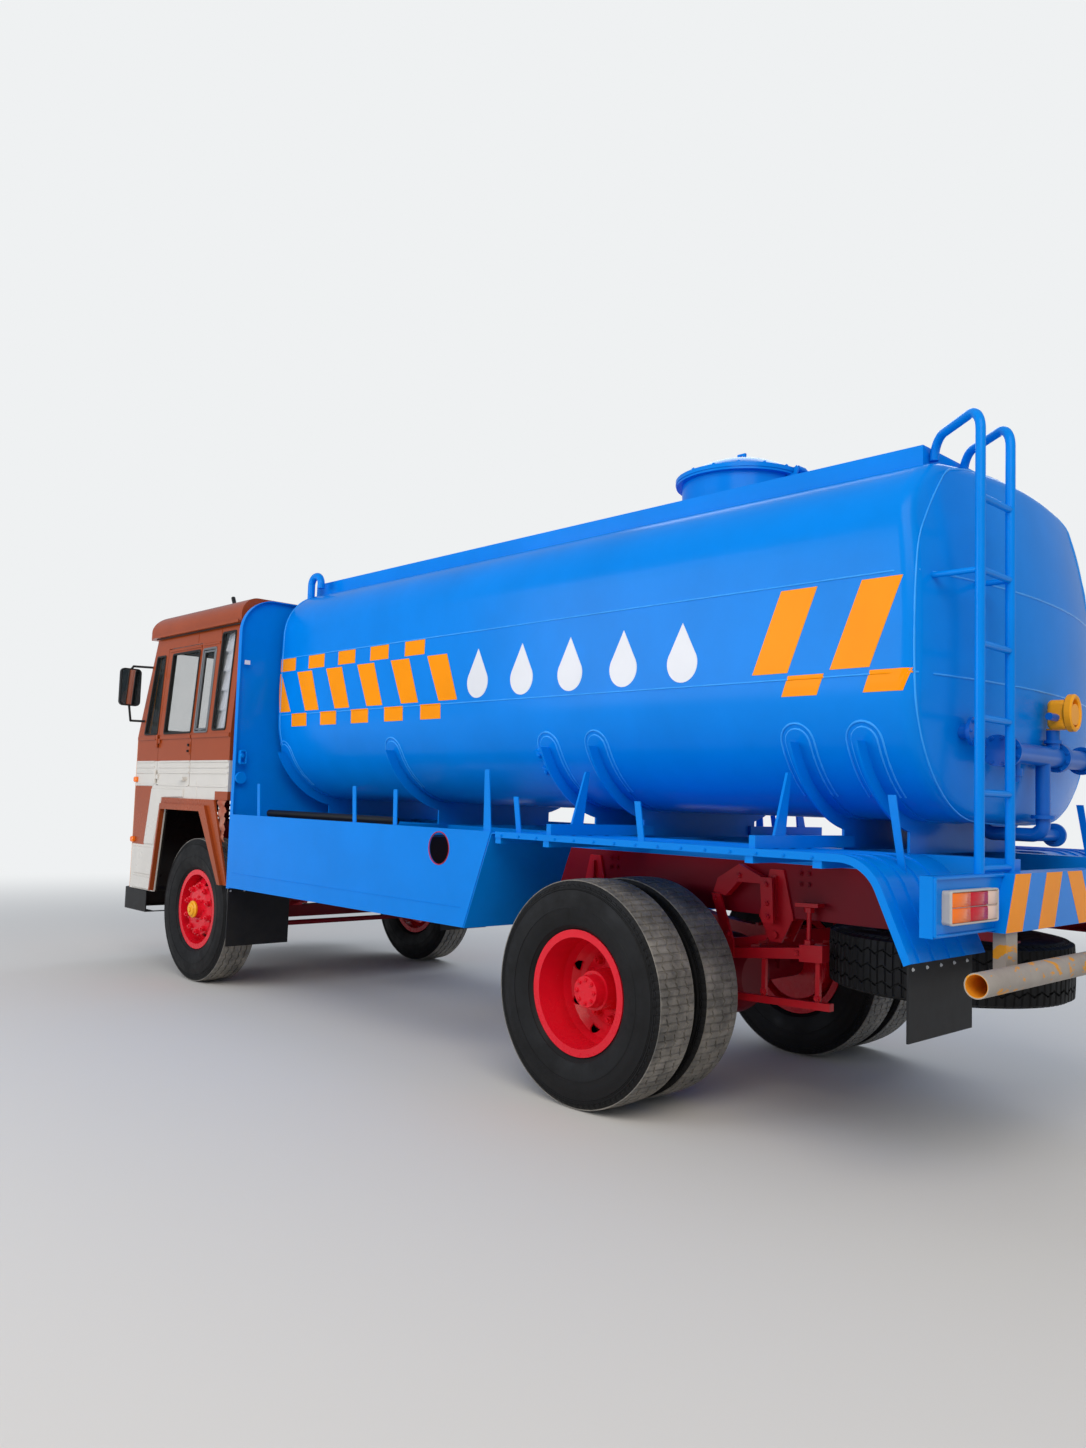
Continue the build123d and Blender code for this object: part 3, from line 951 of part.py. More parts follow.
knee_y0, knee_y1 = KNEE_Y - POST_W / 2, KNEE_Y + POST_W / 2
knee_post = across([(knee_y0, knee_z(knee_y0) - 1), (knee_y1, knee_z(knee_y1) - 1), (knee_y1 - 45, 1475),
                    (knee_y0 - 45, 1475)], BODY_HALF_W - 256, BODY_HALF_W - 250)
node("body_posts", other_side(*posts, knee_post - fender))

# Mud flaps behind the front wheels and behind the rear wheels.
FLAP_T = 8.0
FRONT_FLAP_LOW_Z, REAR_FLAP_LOW_Z = 330.0, 600.0
flap_in_x = BODY_HALF_W - 500
front_flap = block(flap_in_x, BODY_HALF_W - 18, HEADBOARD_Y + 14, HEADBOARD_Y + 14 + FLAP_T, FRONT_FLAP_LOW_Z,
                   PANEL_LOW_Z - 10 - SEAT_GAP)
flap_y = FENDER_END_Y - PANEL_T * sin(FENDER_SLOPE)
rear_flap = block(flap_in_x, BODY_HALF_W - PANEL_T - 1, flap_y - FLAP_T, flap_y, REAR_FLAP_LOW_Z,
                  FENDER_END_Z - PANEL_T * cos(FENDER_SLOPE) - SEAT_GAP)
node("mud_flaps", other_side(front_flap, rear_flap))

# Ladder: two rails standing on the lamp plate, hooped forward onto the coaming, with rungs.
LADDER_X = (BODY_HALF_W - 400, BODY_HALF_W - 670)
LADDER_Y = TAIL_Y - 20
LADDER_R = 19.0
LADDER_FOOT_Z = BUMPER_TOP_Z
HOOP_SHIFT = 240.0
HOOP_TOP_Z = COAMING_TOP_Z + 32
HOOP_R = 88.0
RUNG_R = 14.0
BRACE_R = 12.0
hoop_y = coaming_y1 + LADDER_R + SEAT_GAP
head_clear = Pos(0, TANK_REAR_Y - TANK_HEAD_R, tank_mid_z) * Rot(90, 0, 0) * Sphere(TANK_HEAD_R + SEAT_GAP)
ladder = []
for x in LADDER_X:
    rail = FilletPolyline((x, LADDER_Y, LADDER_FOOT_Z), (x, LADDER_Y, HOOP_TOP_Z),
                          (x - HOOP_SHIFT, hoop_y, HOOP_TOP_Z),
                          (x - HOOP_SHIFT, hoop_y, COAMING_TOP_Z - 60), radius=HOOP_R)
    ladder.append(sweep(Plane(origin=rail @ 0, z_dir=rail % 0) * Circle(LADDER_R), path=rail))
rung_low_z, rung_top_z = LADDER_FOOT_Z + 18, TANK_TOP_Z - 225
RUNG_ZS = [rung_low_z + (rung_top_z - rung_low_z) * k / 5 for k in range(6)]
for z in RUNG_ZS:
    ladder.append(rod((LADDER_X[1], LADDER_Y, z), (LADDER_X[0], LADDER_Y, z), RUNG_R))
for x in LADDER_X:
    ladder.append(rod((x, LADDER_Y, RUNG_ZS[4]), (x, TANK_REAR_Y - 180, RUNG_ZS[4]), BRACE_R) - head_clear)
node("ladder", joined(*ladder))

# Tail: lamp plates, tail lamps, striped bumper box, underrun bar on its posts.
LAMP_PLATE_Y = TAIL_Y
BUMPER_TOP_HALF, BUMPER_LOW_HALF = BODY_HALF_W - 558, BODY_HALF_W - 472
bumper_box = along([(BUMPER_LOW_HALF, BUMPER_LOW_Z), (BUMPER_TOP_HALF, BUMPER_TOP_Z),
                    (-BUMPER_TOP_HALF, BUMPER_TOP_Z),
                    (-BUMPER_LOW_HALF, BUMPER_LOW_Z)], RAIL_REAR_Y, BUMPER_REAR_Y)
rear_bumper = bumper_box
for plate_side in other_side(block(BODY_HALF_W / 2, BODY_HALF_W + 2, LAMP_PLATE_Y - 50, LAMP_PLATE_Y,
                                   BUMPER_LOW_Z + 5, BUMPER_TOP_Z)):
    rear_bumper += plate_side
node("rear_bumper", rear_bumper)
TAIL_LAMP = (BODY_HALF_W - 440, BODY_HALF_W - 62, 1020.0, 1140.0)
tail_lamp = block(TAIL_LAMP[0], TAIL_LAMP[1], LAMP_PLATE_Y + SEAT_GAP, LAMP_PLATE_Y + 30, TAIL_LAMP[2],
                  TAIL_LAMP[3])
tail_lamp = fillet(tail_lamp.edges().filter_by(Axis.Y), 12)
node("lamps", lamps, other_side(tail_lamp))

UNDERRUN_Y = REAR_AXLE_Y + REAR_OVERHANG - UNDERRUN_R
UNDERRUN_HALF = BODY_HALF_W - 110
bar = rod((-UNDERRUN_HALF, UNDERRUN_Y, UNDERRUN_Z), (UNDERRUN_HALF, UNDERRUN_Y, UNDERRUN_Z), UNDERRUN_R)
bar -= rod((-UNDERRUN_HALF - 5, UNDERRUN_Y, UNDERRUN_Z), (UNDERRUN_HALF + 5, UNDERRUN_Y, UNDERRUN_Z),
           UNDERRUN_R - 6)
for x in (-650, 650):
    bar += block(x - 50, x + 50, BUMPER_REAR_Y - 60, BUMPER_REAR_Y - 10, UNDERRUN_Z - 20,
                 BUMPER_LOW_Z - SEAT_GAP)
    bar += block(x - 50, x + 50, BUMPER_REAR_Y - 60, UNDERRUN_Y, UNDERRUN_Z - 20, UNDERRUN_Z + 20)
bar -= rod((-UNDERRUN_HALF - 5, UNDERRUN_Y, UNDERRUN_Z), (UNDERRUN_HALF + 5, UNDERRUN_Y, UNDERRUN_Z),
           UNDERRUN_R - 6)
node("underrun_bar", bar)

# Delivery pipework behind the tank: a flanged manifold along X with its stubs, a drop pipe to the sump
# under the tank, a gate valve with its gearbox, a drain cock and a blanked stub beside the ladder.
PIPE_R = 44.0
FLANGE_T = 16.0
MANIFOLD_Y = TANK_REAR_Y + 22
MANIFOLD_Z = 1670.0
OUTLET_X = -410.0
OUTLET_BORE_R = 38.0
DROP_X = 34.0
SUMP_Y, SUMP_Z = TANK_REAR_Y - 240, 1330.0
STUB_X, STUB_Z = 600.0, 1740.0
head_y = TANK_REAR_Y - 160
tank_end = head_clear & tank_clear


def head_stub(x, z, r):
    """A pipe from the manifold's plane to the tank's rear head."""
    return rod((x, head_y, z), (x, MANIFOLD_Y, z), r) - tank_end


pipes = rod((OUTLET_X, MANIFOLD_Y, MANIFOLD_Z), (400, MANIFOLD_Y, MANIFOLD_Z), PIPE_R)
pipes += rod((400, MANIFOLD_Y, MANIFOLD_Z), (490, MANIFOLD_Y, MANIFOLD_Z), PIPE_R - 12)
for x in (OUTLET_X, -118 - FLANGE_T, -118, 392, 476):
    pipes += rod((x, MANIFOLD_Y, MANIFOLD_Z), (x + FLANGE_T - 2, MANIFOLD_Y, MANIFOLD_Z), PIPE_R + 20)
pipes -= head_clear
pipes += head_stub(300, MANIFOLD_Z, PIPE_R - 4)
pipes += head_stub(-250, MANIFOLD_Z, PIPE_R - 4)
pipes += rod((DROP_X, MANIFOLD_Y, SUMP_Z + 60), (DROP_X, MANIFOLD_Y, MANIFOLD_Z), 30)
pipes += rod((DROP_X, MANIFOLD_Y, SUMP_Z + 70), (DROP_X, MANIFOLD_Y, SUMP_Z + 70 + FLANGE_T), 48)
elbow = FilletPolyline((DROP_X, MANIFOLD_Y, SUMP_Z + 60), (DROP_X, MANIFOLD_Y, SUMP_Z),
                       (DROP_X, SUMP_Y, SUMP_Z), (DROP_X, SUMP_Y, SUMP_Z + 90), radius=50)
pipes += sweep(Plane(origin=elbow @ 0, z_dir=elbow % 0) * Circle(30), path=elbow) - tank_clear
pipes += rod((DROP_X - 230, MANIFOLD_Y - 40, SUMP_Z), (DROP_X, MANIFOLD_Y - 40, SUMP_Z), 27)
pipes += rod((DROP_X - 230, MANIFOLD_Y - 40, SUMP_Z), (DROP_X - 230 + FLANGE_T, MANIFOLD_Y - 40, SUMP_Z), 52)
pipes += rod((300, MANIFOLD_Y, MANIFOLD_Z - 120), (300, MANIFOLD_Y, MANIFOLD_Z), 13)
pipes += rod((300, MANIFOLD_Y, MANIFOLD_Z - 95), (300, MANIFOLD_Y, MANIFOLD_Z - 65), 22)
pipes -= rod((OUTLET_X - 5, MANIFOLD_Y, MANIFOLD_Z), (OUTLET_X + 160, MANIFOLD_Y, MANIFOLD_Z), OUTLET_BORE_R)
blank = rod((STUB_X, head_y, STUB_Z), (STUB_X, TANK_REAR_Y - 15, STUB_Z), 30)
blank += rod((STUB_X, TANK_REAR_Y - 31, STUB_Z), (STUB_X, TANK_REAR_Y - 15, STUB_Z), 58)
blank -= tank_end
VALVE_X = -75.0
gate = rod((VALVE_X, MANIFOLD_Y, MANIFOLD_Z), (VALVE_X, MANIFOLD_Y, MANIFOLD_Z + 125), 28)
gate += rod((VALVE_X, MANIFOLD_Y, MANIFOLD_Z + 60), (VALVE_X, MANIFOLD_Y, MANIFOLD_Z + 74), 38)
gear = block(VALVE_X - 42, VALVE_X + 52, MANIFOLD_Y - 12, MANIFOLD_Y + 78, MANIFOLD_Z + 120, MANIFOLD_Z + 250)
gear = fillet(gear.edges(), 24)
gear += rod((VALVE_X + 5, MANIFOLD_Y + 60, MANIFOLD_Z + 185),
            (VALVE_X + 5, MANIFOLD_Y + 96, MANIFOLD_Z + 185), 46)
gear += rod((VALVE_X, MANIFOLD_Y + 33, MANIFOLD_Z + 170),
            (VALVE_X + 130, MANIFOLD_Y + 33, MANIFOLD_Z + 170), 16)
node("pipework", joined(pipes, gate, gear), blank)

# A long black hose lying along the outriggers behind the left side panel.
HOSE_R = 25.0
HOSE_X = BODY_HALF_W - 200
hose_y0, hose_y1 = SADDLE_YS[0] + 60, SADDLE_YS[1] + 250
hose = rod((HOSE_X, hose_y0, BEARER_TOP_Z + HOSE_R), (HOSE_X, hose_y1, BEARER_TOP_Z + HOSE_R), HOSE_R)
hose -= rod((HOSE_X, hose_y0 - 5, BEARER_TOP_Z + HOSE_R), (HOSE_X, hose_y1 + 5, BEARER_TOP_Z + HOSE_R),
            HOSE_R - 6)
node("carried_hose", hose)

# Spare wheel, lying flat under the tail on its carrier.
SPARE_Y, SPARE_Z = REAR_AXLE_Y + 1225, 745.0
spare_tyre = Pos(0, SPARE_Y, SPARE_Z) * Rot(0, 90, 0) * tyre(0, 0, 0)
spare_rim = Pos(0, SPARE_Y, SPARE_Z) * Rot(0, -90, 0) * rim(0, 0, 0, 1, FRONT_DISC)
clamp_z = SPARE_Z + FRONT_DISC[-1][0] - DISC_T - SEAT_GAP
carrier = joined(block(-RAIL_OUT_X, RAIL_OUT_X, SPARE_Y - 40, SPARE_Y + 40, RAIL_LOW_Z - 12, RAIL_LOW_Z),
                 rod((0, SPARE_Y, clamp_z - 30), (0, SPARE_Y, RAIL_LOW_Z), 16),
                 rod((0, SPARE_Y, clamp_z - 12), (0, SPARE_Y, clamp_z), 100))
node("spare_wheel", spare_tyre, spare_rim, carrier)
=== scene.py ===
"""A two-axle water tanker truck, dressed over its CAD frame. Metres, +Z up; it faces -Y, +X is its left."""

import math

import bmesh
import bpy
from mathutils import Matrix, Vector
from mathutils.bvhtree import BVHTree


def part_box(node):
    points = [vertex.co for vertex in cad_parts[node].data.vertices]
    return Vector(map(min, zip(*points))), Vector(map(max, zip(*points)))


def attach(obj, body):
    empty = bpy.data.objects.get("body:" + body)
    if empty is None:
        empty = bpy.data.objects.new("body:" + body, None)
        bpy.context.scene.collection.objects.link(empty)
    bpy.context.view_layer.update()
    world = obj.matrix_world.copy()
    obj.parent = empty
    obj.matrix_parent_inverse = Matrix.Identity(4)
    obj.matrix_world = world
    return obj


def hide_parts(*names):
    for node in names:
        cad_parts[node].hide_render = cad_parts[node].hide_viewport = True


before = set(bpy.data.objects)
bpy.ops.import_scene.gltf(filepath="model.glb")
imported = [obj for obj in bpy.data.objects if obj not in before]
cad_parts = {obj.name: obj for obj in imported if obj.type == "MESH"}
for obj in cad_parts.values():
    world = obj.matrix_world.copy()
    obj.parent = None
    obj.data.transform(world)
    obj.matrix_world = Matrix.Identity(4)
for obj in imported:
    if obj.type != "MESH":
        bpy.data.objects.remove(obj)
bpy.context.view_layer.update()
FRONT_AXLE_Y = -2.305
REAR_AXLE_Y = 1.725
AXLE_Z = 0.525
FRONT_WHEEL_X = 1.002
SIDES = ((1, "left"), (-1, "right"))

# Camera: beyond the truck's rear left corner at chest height, turned up a little and rolled slightly, as the
# photograph was taken. The frame is 1086 by 1448 pixels.
PHOTO_HIGH = 1448
FOCAL_PIXELS = 1069.0
CAMERA_AT = Vector((4.76, 5.255, 1.41))
CAMERA_YAW = math.radians(43.3)
CAMERA_PITCH = math.radians(4.09)
CAMERA_ROLL = math.radians(1.86)
SENSOR_MM = 36.0

ahead = Vector((-math.sin(CAMERA_YAW) * math.cos(CAMERA_PITCH),
                -math.cos(CAMERA_YAW) * math.cos(CAMERA_PITCH),
                math.sin(CAMERA_PITCH)))
level = ahead.cross(Vector((0, 0, 1))).normalized()
upright = level.cross(ahead)
right = level * math.cos(CAMERA_ROLL) + upright * math.sin(CAMERA_ROLL)
up = upright * math.cos(CAMERA_ROLL) - level * math.sin(CAMERA_ROLL)
turn = Matrix((right, up, -ahead)).transposed().to_4x4()
camera = bpy.data.objects.new("camera", bpy.data.cameras.new("camera"))
camera.data.sensor_width = SENSOR_MM
camera.data.lens = FOCAL_PIXELS / PHOTO_HIGH * SENSOR_MM
camera.data.clip_end = 400.0
camera.matrix_world = Matrix.Translation(CAMERA_AT) @ turn
bpy.context.collection.objects.link(camera)
bpy.context.scene.camera = camera
bpy.context.scene.view_settings.view_transform = "Standard"


# Studio: a pale matt floor that melts into a pale surround far from the truck, and large soft lamps: one high
# behind the rear left corner, one along the left side and one from the far side for the rims of the shapes.
def linear(code):
    """An sRGB hex colour as linear values."""
    parts = [int(code[k:k + 2], 16) / 255 for k in (1, 3, 5)]
    return tuple(p / 12.92 if p <= 0.04045 else ((p + 0.055) / 1.055) ** 2.4 for p in parts) + (1.0,)


def feed(tree, node, inputs):
    """Gives inputs of a node a value or another node's socket."""
    for key, value in inputs.items():
        if isinstance(value, bpy.types.NodeSocket):
            tree.links.new(value, node.inputs[key])
        else:
            node.inputs[key].default_value = value


def add(tree, kind, inputs=None, **settings):
    """Adds a node; an input takes a value or another node's socket."""
    made = tree.nodes.new(kind)
    for key, value in settings.items():
        setattr(made, key, value)
    feed(tree, made, inputs or {})
    return made


def new_finish(name, inputs):
    """A new material, with its node tree and its shader; inputs are the shader's constant values."""
    finish = bpy.data.materials.new(name)
    finish.use_nodes = True
    tree = finish.node_tree
    shader = tree.nodes["Principled BSDF"]
    feed(tree, shader, inputs)
    return finish, tree, shader


def mesh_object(name, points, faces, *materials, smooth=False):
    """A new object from points and faces."""
    mesh = bpy.data.meshes.new(name)
    mesh.from_pydata([tuple(p) for p in points], [], [tuple(f) for f in faces])
    mesh.validate()
    for material in materials:
        mesh.materials.append(material)
    mesh.polygons.foreach_set("use_smooth", [smooth] * len(mesh.polygons))
    made = bpy.data.objects.new(name, mesh)
    bpy.context.collection.objects.link(made)
    return made


SURROUND = "#EFF1F2"
FLOOR_R = 150.0
FLOOR_FADE = (5.0, 13.0)
floor_paint, ground, matt = new_finish("matt_studio_floor",
                                       {"Base Color": linear("#DAD7D1"), "Roughness": 0.9})
spot = add(ground, "ShaderNodeTexCoord").outputs["Object"]
distance = add(ground, "ShaderNodeVectorMath", {0: spot}, operation="LENGTH")
fade = add(ground, "ShaderNodeMapRange", {0: distance.outputs["Value"], 1: FLOOR_FADE[0], 2: FLOOR_FADE[1]},
           interpolation_type="SMOOTHSTEP")
glow = add(ground, "ShaderNodeEmission", {"Color": linear(SURROUND)})
melted = add(ground, "ShaderNodeMixShader", {0: fade.outputs[0], 1: matt.outputs[0], 2: glow.outputs[0]})
ground.links.new(melted.outputs[0], ground.nodes["Material Output"].inputs["Surface"])
rim = [(FLOOR_R * math.cos(math.radians(a)), FLOOR_R * math.sin(math.radians(a)), 0)
       for a in range(0, 360, 10)]
mesh_object("studio_floor", rim, [tuple(range(len(rim)))], floor_paint)

world = bpy.data.worlds.new("pale_studio")
bpy.context.scene.world = world
world.use_nodes = True
sky = world.node_tree
sky.nodes.clear()
path = add(sky, "ShaderNodeLightPath")
glossy = add(sky, "ShaderNodeMath", {0: path.outputs["Is Camera Ray"],
                                     1: path.outputs["Is Transmission Ray"]},
             operation="MAXIMUM")
seen = add(sky, "ShaderNodeBackground", {"Color": linear(SURROUND), "Strength": 1.0})
lit = add(sky, "ShaderNodeBackground", {"Color": linear("#DCE6F5"), "Strength": 0.55})
mixed = add(sky, "ShaderNodeMixShader", {0: glossy.outputs[0], 1: lit.outputs[0], 2: seen.outputs[0]})
add(sky, "ShaderNodeOutputWorld", {"Surface": mixed.outputs[0]})

LAMPS = (  # name, place, aimed at, width, height, watts, colour
    ("soft_key", (6.5, 7.0, 7.5), (0, 1.0, 1.2), 7.5, 6.0, 520.0, "#FFF4E6"),
    ("side_fill", (8.5, -3.0, 3.6), (0, -1.0, 1.2), 7.0, 3.5, 300.0, "#F2F6FF"),
    ("far_rim", (-6.5, -2.0, 7.0), (0, 0, 2.0), 7.0, 6.0, 280.0, "#EAF2FF"),
)
for name, place, target, wide, high, watts, colour in LAMPS:
    light = bpy.data.lights.new(name, "AREA")
    light.shape, light.size, light.size_y = "RECTANGLE", wide, high
    light.energy, light.color = watts, linear(colour)[:3]
    lamp = bpy.data.objects.new(name, light)
    aim = (Vector(target) - Vector(place)).to_track_quat("-Z", "Y")
    lamp.matrix_world = Matrix.Translation(place) @ aim.to_matrix().to_4x4()
    bpy.context.collection.objects.link(lamp)


# Chassis: pressed steel rails, cross members, hangers and axles in dark red oxide enamel, brushed on thick,
# dusty low down. Springs and their hangers are a brighter red. The CAD solids stay and take these finishes.
def enamel(name, colour, roughness=0.3, mottle=0.10, dirt=0.35, dirt_high=1.0, orange_peel=0.12, wave=0.0,
           dirt_colour="#54483E", shine=0.3, zones=()):
    """Alkyd enamel brushed or sprayed on steel: slight mottling, orange peel, and dust that thins upwards.

    Each zone is a colour and a function that gives a mask from the tree and its x, y and z sockets.
    """
    finish, tree, shader = new_finish(name, {"IOR": 1.5, "Specular IOR Level": shine})
    where = add(tree, "ShaderNodeTexCoord").outputs["Object"]
    cloud = add(tree, "ShaderNodeTexNoise", {"Vector": where, "Scale": 2.2, "Detail": 5.0, "Roughness": 0.6})
    shade = add(tree, "ShaderNodeMapRange",
                {0: cloud.outputs["Fac"], 1: 0.3, 2: 0.7, 3: 1 - mottle, 4: 1 + mottle})
    height = add(tree, "ShaderNodeSeparateXYZ", {0: where})
    paint = add(tree, "ShaderNodeMix", {0: 1.0, 6: linear(colour), 7: shade.outputs[0]}, data_type="RGBA",
                blend_type="MULTIPLY")
    for zone_colour, mask in zones:
        tint = add(tree, "ShaderNodeMix", {0: 1.0, 6: linear(zone_colour), 7: shade.outputs[0]},
                   data_type="RGBA", blend_type="MULTIPLY")
        paint = add(tree, "ShaderNodeMix", {0: mask(tree, *height.outputs), 6: paint.outputs[2],
                                            7: tint.outputs[2]}, data_type="RGBA")
    low = add(tree, "ShaderNodeMapRange", {0: height.outputs["Z"], 1: 0.1, 2: dirt_high, 3: 1.0, 4: 0.06})
    speck = add(tree, "ShaderNodeTexNoise", {"Vector": where, "Scale": 9.0, "Detail": 8.0, "Roughness": 0.75})
    speck_cut = add(tree, "ShaderNodeMapRange", {0: speck.outputs["Fac"], 1: 0.35, 2: 0.75, 3: 0.0, 4: 1.0})
    amount = add(tree, "ShaderNodeMath", {0: low.outputs[0], 1: speck_cut.outputs[0]}, operation="MULTIPLY")
    amount = add(tree, "ShaderNodeMath", {0: amount.outputs[0], 1: dirt}, operation="MULTIPLY")
    soiled = add(tree, "ShaderNodeMix", {0: amount.outputs[0], 6: paint.outputs[2], 7: linear(dirt_colour)},
                 data_type="RGBA")
    rough = add(tree, "ShaderNodeMapRange", {0: amount.outputs[0], 1: 0.0, 2: 0.5, 3: roughness, 4: 0.85})
    peel = add(tree, "ShaderNodeTexNoise", {"Vector": where, "Scale": 160.0, "Detail": 2.0})
    bump = add(tree, "ShaderNodeBump", {"Strength": orange_peel, "Distance": 0.0006,
                                        "Height": peel.outputs["Fac"]})
    if wave:
        swell = add(tree, "ShaderNodeTexNoise", {"Vector": where, "Scale": 1.6, "Detail": 1.0})
        bump = add(tree, "ShaderNodeBump", {"Strength": wave, "Distance": 0.02,
                                            "Height": swell.outputs["Fac"], "Normal": bump.outputs[0]})
    feed(tree, shader, {"Base Color": soiled.outputs[2], "Roughness": rough.outputs[0],
                        "Normal": bump.outputs[0]})
    return finish


def finish_nodes(material, *names):
    """Gives CAD nodes their finish."""
    for name in names:
        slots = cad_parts[name].data.materials
        slots.clear()
        slots.append(material)


red_oxide = enamel("red_oxide_enamel_on_steel", "#7E0016", roughness=0.36, dirt=0.22, dirt_high=1.1,
                   shine=0.18)
bright_red = enamel("signal_red_enamel_on_steel", "#B80A1C", roughness=0.3, dirt=0.3, dirt_high=1.1)
finish_nodes(red_oxide, "chassis_rails", "cross_members", "front_axle", "rear_axle", "knuckle_left",
             "knuckle_right", "track_rod", "driveline", "cab_mounts")
finish_nodes(bright_red, "spring_hangers", "leaf_springs")
cast_grey = enamel("greasy_cast_iron", "#4A4947", roughness=0.6, dirt=0.6, dirt_high=2.0)
finish_nodes(cast_grey, "engine_block")
under_black = enamel("black_chassis_enamel", "#0F1012", roughness=0.45, dirt=0.3, dirt_high=1.2)
finish_nodes(under_black, "chassis_tanks", "front_bumper", "grille", "mirrors")

# Wheels: pressed steel discs and rims in bright red gloss enamel, with nuts on studs and a yellow hub cap in
# front, and hubs bolted inside the deep dish behind. Nuts are chamfered hexagons on round washers.
wheel_red = enamel("wheel_red_gloss_enamel", "#DE1028", roughness=0.22, mottle=0.06, dirt=0.15, dirt_high=0.9,
                   dirt_colour="#7A4A3A")
hub_yellow = enamel("hub_cap_yellow_enamel", "#F2A81A", roughness=0.25, dirt=0.2, dirt_high=0.9)
finish_nodes(wheel_red, "front_wheel_left", "front_wheel_right", "rear_wheels_left", "rear_wheels_right")


def ring_faces(count, rings, closed=False):
    """Faces between rings of count points each; closed joins the last ring to the first."""
    faces = []
    for row in range(rings if closed else rings - 1):
        after = (row + 1) % rings
        for k in range(count):
            m = (k + 1) % count
            faces.append((row * count + k, row * count + m, after * count + m, after * count + k))
    return faces


def circle(across, up, r, count, start=0.0):
    """Points spaced evenly round a circle, the first one turned by start spaces."""
    angles = [2 * math.pi * (k + start) / count for k in range(count)]
    return [(across + r * math.cos(angle), up + r * math.sin(angle)) for angle in angles]


def lathe(points, steps, centre, axis="X"):
    """Points and faces of a closed outline of (along, radius) points, turned about an axis through centre."""
    made = []
    for step in range(steps):
        angle = 2 * math.pi * step / steps
        c, s = math.cos(angle), math.sin(angle)
        for along, r in points:
            if axis == "X":
                made.append((centre[0] + along, centre[1] + r * c, centre[2] + r * s))
            else:
                made.append((centre[0] + r * s, centre[1] + along, centre[2] + r * c))
    return made, ring_faces(len(points), steps, closed=True)


class Pile:
    """Points and faces gathered for one object, with a material number for each face."""

    def __init__(self):
        self.points, self.faces, self.marks = [], [], []

    def put(self, points, faces, mark=0):
        base = len(self.points)
        self.points += [tuple(p) for p in points]
        self.faces += [tuple(base + k for k in face) for face in faces]
        self.marks += [mark] * len(faces)

    def build(self, name, body, slot, *materials, smooth_angle=None):
        """The gathered mesh as a piece that rides on a body."""
        made = mesh_object(name, self.points, self.faces, *materials)
        made.data.polygons.foreach_set("material_index", self.marks)
        work = bmesh.new()
        work.from_mesh(made.data)
        bmesh.ops.remove_doubles(work, verts=work.verts, dist=1e-6)
        bmesh.ops.dissolve_degenerate(work, edges=work.edges, dist=1e-7)
        bmesh.ops.recalc_face_normals(work, faces=work.faces)
        if smooth_angle is not None:
            for face in work.faces:
                face.smooth = True
            for edge in work.edges:
                if len(edge.link_faces) == 2 and edge.calc_face_angle(0) > math.radians(smooth_angle):
                    edge.smooth = False
        work.to_mesh(made.data)
        work.free()
        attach(made, body)
        return made


def banded(pile, rings, mark=0, closed=False):
    """Faces between rings of points; the ends are filled unless closed joins the last ring to the first."""
    count = len(rings[0])
    faces = ring_faces(count, len(rings), closed)
    if not closed:
        faces += [tuple(range(count)), tuple(range((len(rings) - 1) * count, len(rings) * count))]
    pile.put([p for ring in rings for p in ring], faces, mark)


def prism(centre, axis, flats, length, r, chamfer=0.0):
    """A chamfered bar with flat sides, such as a nut, standing on centre along +axis or -axis."""
    c = Vector(centre)
    n = Vector(axis).normalized()
    side = n.orthogonal().normalized()
    other = n.cross(side)
    rings = ((0.0, r), (length - chamfer, r), (length, r - chamfer))
    points = []
    for along, radius in rings:
        for k in range(flats):
            angle = 2 * math.pi * k / flats
            points.append(c + n * along + side * (radius * math.cos(angle))
                          + other * (radius * math.sin(angle)))
    faces = ring_faces(flats, len(rings))
    faces.append(tuple(range(flats - 1, -1, -1)))
    faces.append(tuple(range((len(rings) - 1) * flats, len(rings) * flats)))
    return points, faces


def new_tree(name, inputs, output):
    """A geometry tree and the sockets of its inputs, each given as a name and a kind."""
    tree = bpy.data.node_groups.new(name, "GeometryNodeTree")
    for label, kind in inputs:
        tree.interface.new_socket(label, in_out="INPUT", socket_type="NodeSocket" + kind)
    tree.interface.new_socket(output, in_out="OUTPUT", socket_type="NodeSocketGeometry")
    return tree, add(tree, "NodeGroupInput").outputs


